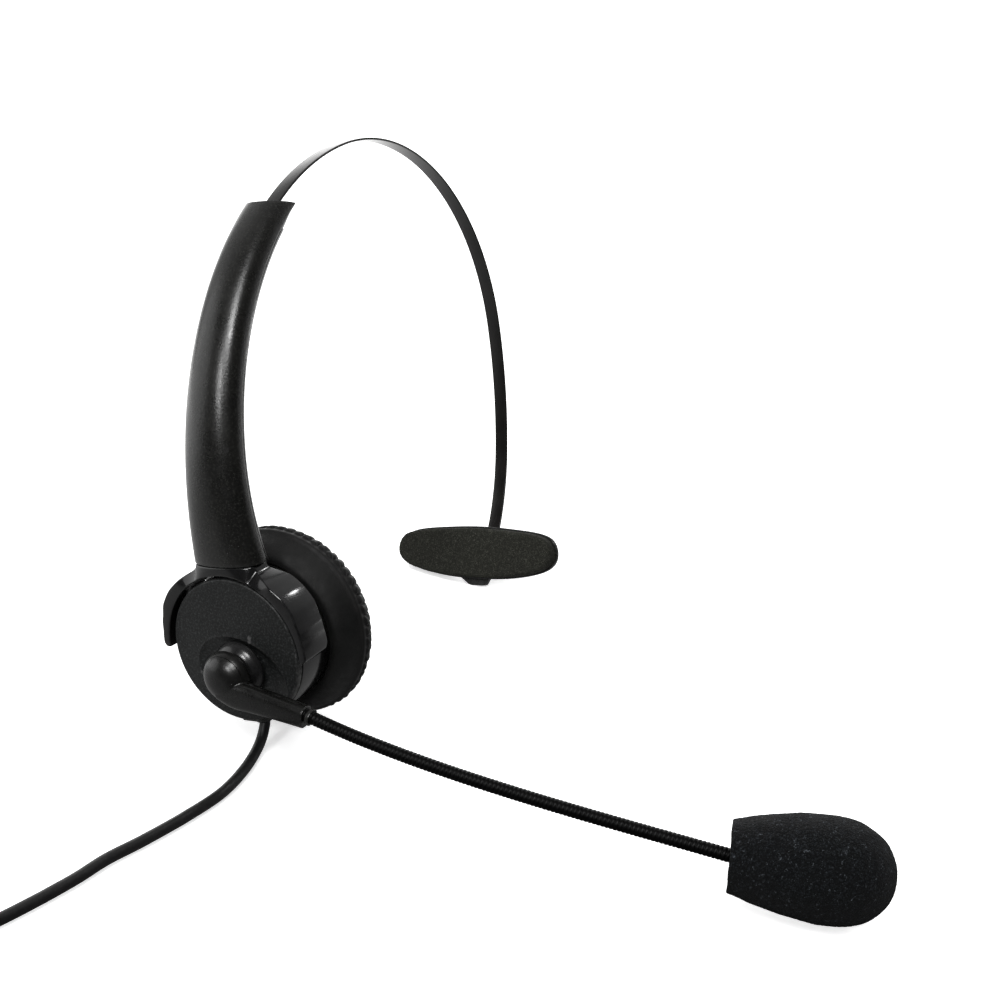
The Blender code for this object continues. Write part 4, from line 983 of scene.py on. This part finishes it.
def tpad_outline():
    """The pad's boat shape as (along, up): straight-sided, deeper below, with round ends."""
    half = [(0.0, 6.0), (14.0, 5.4), (24.0, 4.3), (28.6, 2.3), (30.4, -1.6), (29.2, -5.6),
            (24.0, -8.5), (13.0, -10.6), (0.0, -11.2)]
    other = [(-y, up) for y, up in half[-2:0:-1]]
    loop = [Vector((y, up, 0)) for y, up in half + other]
    path = smooth_path(loop[-2:] + loop + loop[:3], 18)
    return path[36:36 + 18 * len(loop)]


def tpad_ring(inset, back, scale=1.0):
    """The outline drawn in by an inset, at a depth behind the pad's middle."""
    middle = (TPAD_UP - TPAD_DOWN) / 2
    height = (TPAD_UP + TPAD_DOWN) / 2
    wide = (1 - inset / TPAD_HALF_LENGTH) * scale
    tall = (1 - inset / height) * scale
    return [tpad_point(p.x * wide, middle + (p.y - middle) * tall, back) for p in tpad_outline()]


def tpad_foam():
    """Die-cut foam with a softly pressed front edge and a lightly uneven face."""
    half = TPAD_FOAM / 2
    edge, proud = 1.3, -0.15
    rings = [tpad_ring(edge + proud, -half - 0.15 * (1 - s ** 4), s) for s in
             (0.02, *[k / 26 for k in range(1, 26)], 1.0)]
    rings += [tpad_ring(edge * (1 - math.sin(a)) + proud, -half + edge * (1 - math.cos(a)))
              for a in [k / 8 * math.pi / 2 for k in range(1, 9)]]
    rings += [tpad_ring(proud, mix(-half + edge, half, k / 8)) for k in range(1, 9)]
    pad = shape("tpad_foam_look", skin(rings))
    push(pad, lambda place, normal: 0.10 * noise.noise(place * 1.5)
         + 0.16 * noise.noise(place * 0.16) - 0.06)
    settle(pad, "tpad", PAD_FOAM, "foam", "tpad_foam", crease=math.radians(60))


def tpad_box(y_low, y_high, up_low, up_high, back_low, back_high):
    rings = [[tpad_point(y, up, back) for y, up in ((y_low, up_low), (y_high, up_low),
                                                    (y_high, up_high), (y_low, up_high))]
             for back in (back_low, back_high)]
    return skin(rings)


def tpad_back():
    """The backing plate with its foot and clevis ears, and the clip on the strip's end."""
    front = TPAD_FOAM / 2 + 0.3
    back = front + TPAD_PLATE
    rings = [tpad_ring(inset, b) for inset, b in
             ((-0.45, front), (-0.75, front + 0.25), (-0.75, front + 1.1), (-0.45, back - 0.25),
              (0.0, back))]
    plate = shape("tpad_plate_look", skin(rings))
    foot = [(4.4, -4.6), (8.6, -10.4), (3.2, -14.3), (-3.1, -14.3), (-4.6, -11.6), (-4.6, -4.6)]
    low_end = shape("foot", skin([[tpad_point(*place, depth) for place in rounded(foot, 0.8)]
                                  for depth in (front + 0.2, back + 0.4)]))
    combine(plate, low_end, "UNION")
    for side in (-1, 1):
        middle = side * 6.3
        ear = shape("ear", tpad_box(middle - 1.1, middle + 1.1, -3.6, 3.6, back - 0.8,
                                    TPAD_PIN_BACK + 2.0))
        combine(plate, soften(ear, 1.0, 5), "UNION")
    settle(soften(plate, 0.18, 2, math.radians(50)), "tpad", SATIN, "satin_plastic", "tpad_plate")
    clip = shape("tpad_clip_look", tpad_box(-4.7, 4.7, -2.6, 5.0, TPAD_PIN_BACK - 2.7,
                                            TPAD_PIN_BACK + 4.4))
    soften(clip, 0.9, 5)
    half_y, half_n = STRIP_WIDTH / 2 + 0.25, STRIP_THICKNESS / 2 + 0.25
    slot = strip_rings([(-half_y, -half_n), (half_y, -half_n), (half_y, half_n),
                        (-half_y, half_n)])[-46:]
    combine(clip, shape("slot", skin(slot)), "DIFFERENCE")
    settle(soften(clip, 0.12, 2, math.radians(55)), "band", SATIN, "satin_plastic", "tpad_clip")


# ---------------------------------------------------------------- boom

def boom_point(along, up, depth):
    """A point from the boom arm's axes: along the arm, across it upwards, and a depth."""
    forward = Vector((0, -math.cos(BOOM_SLOPE), -math.sin(BOOM_SLOPE)))
    upward = Vector((0, -math.sin(BOOM_SLOPE), math.cos(BOOM_SLOPE)))
    return cup_point(depth, *PIVOT) + forward * along + upward * up


def boom_rings():
    """Rounded-box sections of the tapering arm, eased between its stations."""
    stations = (
        (-1.0, -6.0, 0.6, -5.1, -9.6), (4.0, -6.9, 0.9, -4.9, -9.9),
        (9.0, -6.35, 1.35, -4.9, -10.0), (14.0, -5.8, 1.3, -4.95, -10.0),
        (20.0, -5.25, 1.3, -5.0, -9.95), (26.6, -4.75, 1.15, -5.0, -9.85),
    )
    rows = smooth_path([Vector(station) for station in stations], 6)
    rings = []
    for along, low, high, near, far in rows:
        ring = []
        for angle in turns(72):
            up = mix(low, high, 0.5 + 0.5 * signed_power(math.cos(angle), BOOM_SQUARENESS))
            depth = mix(far, near, 0.5 + 0.5 * signed_power(math.sin(angle), BOOM_SQUARENESS))
            ring.append(boom_point(along, up, depth))
        rings.append(ring)
    return rings


def socket_point(distance):
    """A point on the line of the gooseneck's seat in the arm."""
    first, second = (cup_point(*handle) for handle in GOOSENECK_HANDLES[:2])
    return first + (second - first).normalized() * distance


def cut_flat(obj, depth, keep_outer):
    """Keep the part of a closed shape on one side of a plane square to the cup's axis."""
    bm = bmesh.new()
    bm.from_mesh(obj.data)
    sides = {"clear_outer": keep_outer, "clear_inner": not keep_outer}
    bmesh.ops.bisect_plane(bm, geom=bm.verts[:] + bm.edges[:] + bm.faces[:],
                           plane_co=cup_point(depth), plane_no=(1, 0, 0), **sides)
    bmesh.ops.holes_fill(bm, edges=[edge for edge in bm.edges if edge.is_boundary], sides=0)
    bm.to_mesh(obj.data)
    bm.free()


def boom_arm():
    """The rigid arm as one blended form, parted into two halves along a fine line."""
    bulb = [(0.0, 10.3), (2.4, 10.05), (4.3, 9.4), (5.7, 8.45), (6.7, 7.2), (7.2, 6.1), (7.3, 5.3),
            (6.9, 4.8), (6.4, 4.5)]
    dome = smooth_path([Vector((r, h, 0)) for r, h in bulb], 5)
    rings = [cup_ring(p.x, -p.y, 128, PIVOT) for p in dome[1:]]
    whole = shape("boom_arm_form", skin(rings), skin(boom_rings()))
    remesh = whole.modifiers.new("blend", "REMESH")
    remesh.mode = "VOXEL"
    remesh.voxel_size = BOOM_VOXEL
    smooth = whole.modifiers.new("ease", "SMOOTH")
    smooth.factor = 0.5
    smooth.iterations = 8
    bake(whole)
    for name, depth, keep_outer in (("boom_arm_outer", BOOM_SPLIT - BOOM_GAP / 2, True),
                                    ("boom_arm_inner", BOOM_SPLIT + BOOM_GAP / 2, False)):
        half = whole.copy()
        half.data = whole.data.copy()
        half.name = name + "_look"
        bpy.context.scene.collection.objects.link(half)
        cut_flat(half, depth, keep_outer)
        # Both halves take the darker copy of the satin plastic, which is painted shade.
        settle(half, "boom", BOOM_SHADED, "satin_plastic", name, crease=math.radians(50))
    bpy.data.objects.remove(whole, do_unlink=True)


def hub():
    """The glossy domed hub that turns in the cover."""
    dome = smooth_path([Vector((r, h, 0)) for r, h in (
        (0.0, 4.2), (2.0, 4.19), (3.8, 4.05), (5.6, 3.5), (7.1, 2.4), (7.9, 1.1), (8.0, 0.45),
        (7.6, 0.2))], 6)
    profile = [(p.x, p.y) for p in dome] + [(6.0, -0.9), (3.9, -0.9), (3.9, -4.6)]
    rings = [cup_ring(r, -h, 120, PIVOT) for r, h in profile]
    settle(shape("boom_pivot_hub_look", skin(rings)), "boom", DOME, "gloss_plastic",
           "boom_pivot_hub")
    outline = rounded([(2.3, 1.9), (2.3, 0.9), (1.9, 0.9), (1.9, 1.9)], 0.18)
    tangent = socket_point(1.0) - socket_point(0.0)
    ferrule = axis_rings(outline, socket_point(0.0), tangent, 72)
    settle(shape("boom_ferrule_look", skin(ferrule, closed=True)), "boom", SATIN,
           "satin_plastic", "boom_ferrule")


def gooseneck_point(t):
    a, b, c, d = (cup_point(*handle) for handle in GOOSENECK_HANDLES)
    return a * (1 - t) ** 3 + b * 3 * t * (1 - t) ** 2 + c * 3 * t * t * (1 - t) + d * t ** 3


def gooseneck():
    """A close-wound coil from the arm's socket into the windscreen."""
    end = gooseneck_point(1.0)
    path = [socket_point(-5.5)] + [gooseneck_point(i / 300) for i in range(301)]
    path = resample(path + [end + FOAM_AXIS * 2.0], COIL_PITCH / COIL_STEPS)

    def wire(i, angle):
        turn = (i / COIL_STEPS + angle / (2 * math.pi)) % 1.0
        crown = math.sqrt(max(1 - (2 * turn - 1) ** 2, 0))
        return GOOSENECK_RADIUS - COIL_DEPTH * (1 - crown)
    coil = shape("gooseneck_coil_look", skin(tube_rings(path, wire, 28)))
    stand(coil, COIL, ("gooseneck_lower", "gooseneck_core", "gooseneck_upper"),
          crease=math.radians(75))
    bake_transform(coil)


def windscreen():
    """Open-cell foam sleeve with a porous, slightly lumpy skin and a blind pocket."""
    start = gooseneck_point(1.0) - FOAM_AXIS * 0.6
    rows = []
    for k in range(111):
        share = k / 110
        if share < FOAM_WIDEST:
            swell = math.sin(share / FOAM_WIDEST * math.pi / 2)
            radius = mix(FOAM_END_RADIUS, FOAM_RADIUS, swell)
        else:
            beyond = (share - FOAM_WIDEST) / (1 - FOAM_WIDEST)
            radius = FOAM_RADIUS * max(1 - beyond ** 2.3, 0) ** 0.5
        rows.append((radius, share * FOAM_LENGTH))
    mouth = GOOSENECK_RADIUS + 0.35
    face = [(mix(mouth, FOAM_END_RADIUS - 0.5, k / 12), 0.25 * (1 - k / 12)) for k in range(13)]
    pocket = [(0.0, 16.6), (3.6, 16.4), (5.1, 14.6), (5.1, 2.4), (mouth, 1.6)]
    rings = axis_rings(pocket + face + [(FOAM_END_RADIUS - 0.15, 0.0)] + rows[1:], start,
                       FOAM_AXIS, 260)
    foam = shape("mic_windscreen_look", skin(rings, caps=False))

    def pores(place, normal):
        pit = noise.noise(place * 2.1) + 0.8 * noise.noise(place * 4.3)
        soft = noise.noise(place * 0.22)
        return 0.24 * soft + 0.09 * pit - 0.05
    push(foam, pores)
    settle(foam, "mic", MIC_FOAM, "foam", "mic_windscreen", crease=math.radians(80))


# ---------------------------------------------------------------- cable and plug

def on_table(x, y):
    """A point of the cable's centre line on the table, given in the standing frame."""
    return Matrix.Rotation(LEAN, 3, "X") @ Vector((x, y, TABLE_Z + CABLE_RADIUS + 0.1))


def cable():
    """The jacketed cable: down from the cup, along the table and into the plug."""
    leave = cup_point(*CABLE_EXIT)
    fall = [leave + Vector((0, 0, 1.0)), leave + Vector((0, 0, -0.8)),
            leave + Vector((-0.5, -0.1, -3.2))]
    lie = [on_table(-30.2, -8.6) + Vector((0, 0, 0.7)), on_table(-41.0, -11.8),
           on_table(-53.3, -13.8), on_table(-66.7, -12.9), on_table(-79.9, -10.8),
           on_table(-90.2, -8.6), on_table(-101.0, -7.6), on_table(-117.0, -4.6),
           on_table(-134.0, 0.2), on_table(*PLUG_PLACE)]
    path = resample(smooth_path(fall + lie, 24), 0.5)

    def jacket(i, angle):
        place = Vector((i * 0.06, math.cos(angle), math.sin(angle)))
        return CABLE_RADIUS * (0.985 + 0.015 * noise.noise(place))
    obj = shape("cable_look", skin(tube_rings(path, jacket, 32)))
    settle(obj, "earcup", JACKET, "cable_jacket", "cable", crease=math.radians(60))


def strain_relief():
    """The low moulded block with its collar, hugging the bottom of the cup's wall."""
    leave = cup_point(*CABLE_EXIT)
    block = shape("strain_relief_look",
                  box_part(leave + Vector((-2.0, 0.0, -1.9)), leave + Vector((2.2, 6.1, 0.6))))
    soften(block, 0.4, 4)
    collar = axis_rings([(2.1, -1.95), (2.4, -1.65), (2.4, 0.6)], leave, Vector((0, 0, 1)), 64)
    combine(block, shape("collar", skin(collar)), "UNION")
    wall = [cup_ring(CUP_RADIUS + 0.2, depth, 240) for depth in (-5, 25)]
    combine(block, shape("wall", skin(wall)), "DIFFERENCE")
    bore = tube_rings([leave + Vector((0.1, 0, 3)), leave + Vector((-0.5, -0.1, -4))],
                      CABLE_RADIUS + 0.4, 48)
    combine(block, shape("bore", skin(bore)), "DIFFERENCE")
    settle(block, "earcup", SATIN, "satin_plastic", "strain_relief")


def plug_part(along_low, along_high, half_width, z_low, z_high, y=0.0):
    """A box in the plug's axes: along it, across it and up from the table."""
    end = Vector((*PLUG_PLACE, TABLE_Z + 0.1))
    forward = Vector((math.cos(PLUG_HEADING), math.sin(PLUG_HEADING), 0))
    side = Vector((-forward.y, forward.x, 0))
    upright = Matrix.Rotation(LEAN, 3, "X")
    corners = ((-1, z_low), (1, z_low), (1, z_high), (-1, z_high))
    rings = []
    for along in (along_low, along_high):
        middle = end + forward * along
        rings.append([upright @ (middle + side * (y + s * half_width) + Vector((0, 0, z)))
                      for s, z in corners])
    return skin(rings)


def plug():
    """A generic four-way modular plug: stepped body, slots and a cable entry."""
    start = -2.0
    end = start + PLUG_LENGTH
    body = shape("plug_body_look", plug_part(start, end, PLUG_WIDTH / 2, 0.0, PLUG_HEIGHT))
    soften(body, 0.35, 3)
    for number in range(4):
        y = (number - 1.5) * 1.27
        slot = plug_part(end - 4.6, end + 1, 0.35, PLUG_HEIGHT - 1.6, PLUG_HEIGHT + 1, y)
        combine(body, shape("slot", slot), "DIFFERENCE")
    entry = plug_part(start - 1.0, start + 8.0, CABLE_RADIUS + 0.4, -0.5, 2 * CABLE_RADIUS + 0.6)
    combine(body, shape("entry", entry), "DIFFERENCE")
    settle(body, "earcup", CLEAR, "clear_plastic", "plug_body")


# ---------------------------------------------------------------- stage

def floor():
    """A pale table that the camera sees as near white, with soft contact shadows: it glows by
    FLOOR_LIFT for the camera, which washes its shadows out, and to the object it is darker on the
    camera's side and paler and glowing on its far side.
    """
    size = 4.0
    height = (TABLE_Z + RING_CENTRE_Z - FLOOR_BELOW) * MM
    mesh = bpy.data.meshes.new("table_top")
    corners = [(-size, -size, height), (size, -size, height), (size, size, height),
               (-size, size, height)]
    mesh.from_pydata(corners, [], [(0, 1, 2, 3)])
    obj = bpy.data.objects.new("table_top", mesh)
    bpy.context.scene.collection.objects.link(obj)
    look = Surface("table_look", specular=0.0)
    seen = look.node("ShaderNodeLightPath").outputs["Is Camera Ray"]
    across = look.node("ShaderNodeVectorMath", operation="DOT_PRODUCT")
    across.inputs[1].default_value = BRIGHT_SIDE
    look.link(look.place, across.inputs[0])
    share = look.levels(across.outputs["Value"], -110, 110)
    # To the object the table is made darker on the camera's side and paler on the far side.
    returned = look.tones(share, (0.06, 0.06, 0.06), (0.62, 0.62, 0.62))
    look.colour(look.tones(seen, returned, (0.97, 0.97, 0.97)))
    # Painted light: the table glows, by FLOOR_LIFT for the camera and up to 1.6 on its far side for
    # other rays.
    look.set("Emission Color", (1.0, 1.0, 1.0, 1.0))
    beyond = look.levels(across.outputs["Value"], 60, 600, 0.0, 1.6)
    lift = look.node("ShaderNodeMix")
    lift.inputs["B"].default_value = FLOOR_LIFT
    look.link(seen, lift.inputs["Factor"])
    look.link(beyond, lift.inputs["A"])
    look.link(lift.outputs["Result"], look.shader.inputs["Emission Strength"])
    look.uneven(0.02, 0.9, 0.98)
    mesh.materials.append(look.material)


def sky():
    """White to the camera; to the object, a room that is brighter on its far side."""
    world = bpy.data.worlds.new("studio")
    bpy.context.scene.world = world
    world.use_nodes = True
    nodes, links = world.node_tree.nodes, world.node_tree.links
    background = nodes["Background"]
    coordinates = nodes.new("ShaderNodeTexCoord")
    facing = nodes.new("ShaderNodeVectorMath")
    facing.operation = "DOT_PRODUCT"
    facing.inputs[1].default_value = Vector(SKY_BRIGHTEST).normalized()
    links.new(coordinates.outputs["Generated"], facing.inputs[0])
    glow = nodes.new("ShaderNodeMath")
    for slot, ramp in enumerate(SKY_RAMPS):
        spread = nodes.new("ShaderNodeMapRange")
        spread.interpolation_type = "SMOOTHSTEP"
        for name, value in zip(("From Min", "From Max", "To Min", "To Max"), ramp):
            spread.inputs[name].default_value = value
        links.new(facing.outputs["Value"], spread.inputs["Value"])
        links.new(spread.outputs["Result"], glow.inputs[slot])
    path = nodes.new("ShaderNodeLightPath")
    strength = nodes.new("ShaderNodeMix")
    strength.inputs["B"].default_value = SKY_SEEN
    links.new(path.outputs["Is Camera Ray"], strength.inputs["Factor"])
    links.new(glow.outputs[0], strength.inputs["A"])
    links.new(strength.outputs["Result"], background.inputs["Strength"])
    background.inputs["Color"].default_value = (1.0, 1.0, 1.0, 1.0)


def lamp(name, towards, strength, spread, mirrored=True):
    """A soft, far light that comes from a direction; glossy pieces mirror it or not."""
    light = bpy.data.lights.new(name, "SUN")
    light.energy = strength
    light.angle = math.radians(spread)
    obj = bpy.data.objects.new(name, light)
    bpy.context.scene.collection.objects.link(obj)
    obj.rotation_mode = "QUATERNION"
    obj.rotation_quaternion = Vector(towards).to_track_quat("Z", "Y")
    obj.visible_glossy = mirrored


def camera():
    data = bpy.data.cameras.new("camera")
    data.lens = CAMERA_LENS
    data.clip_start = 0.01
    obj = bpy.data.objects.new("camera", data)
    bpy.context.scene.collection.objects.link(obj)
    back = (CAMERA_PLACE - CAMERA_AIM).normalized()
    right = Vector((0, 0, 1)).cross(back).normalized()
    level = back.cross(right)
    up = level * math.cos(CAMERA_ROLL) + right * math.sin(CAMERA_ROLL)
    right = up.cross(back)
    turn = Matrix((right, up, back)).transposed()
    obj.matrix_world = Matrix.Translation(CAMERA_PLACE) @ turn.to_4x4()
    bpy.context.scene.camera = obj


# ---------------------------------------------------------------- assembly

for finish, names in CARRIED_OVER:
    for name in names:
        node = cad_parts[name]
        node.data.materials.clear()
        node.data.materials.append(finish)

cover()
cup_body()
cushion()
cushion_filling()
yoke()
arm()
strip()
tpad_foam()
tpad_back()
boom_arm()
hub()
gooseneck()
windscreen()
cable()
strain_relief()
plug()

floor()
sky()
lamp("overhead", (0.10, 0.30, 0.92), 1.0, 75, mirrored=False)
lamp("streak", (-0.54, -0.22, 0.80), 1.9, 22)
lamp("front", (-0.84, -0.02, 0.54), 1.0, 12)
lamp("side", (-0.42, 0.88, 0.20), 0.65, 46)
lamp("sparkle", (0.74, -0.25, 0.60), 0.22, 5)
camera()
bpy.context.scene.view_settings.view_transform = "Standard"
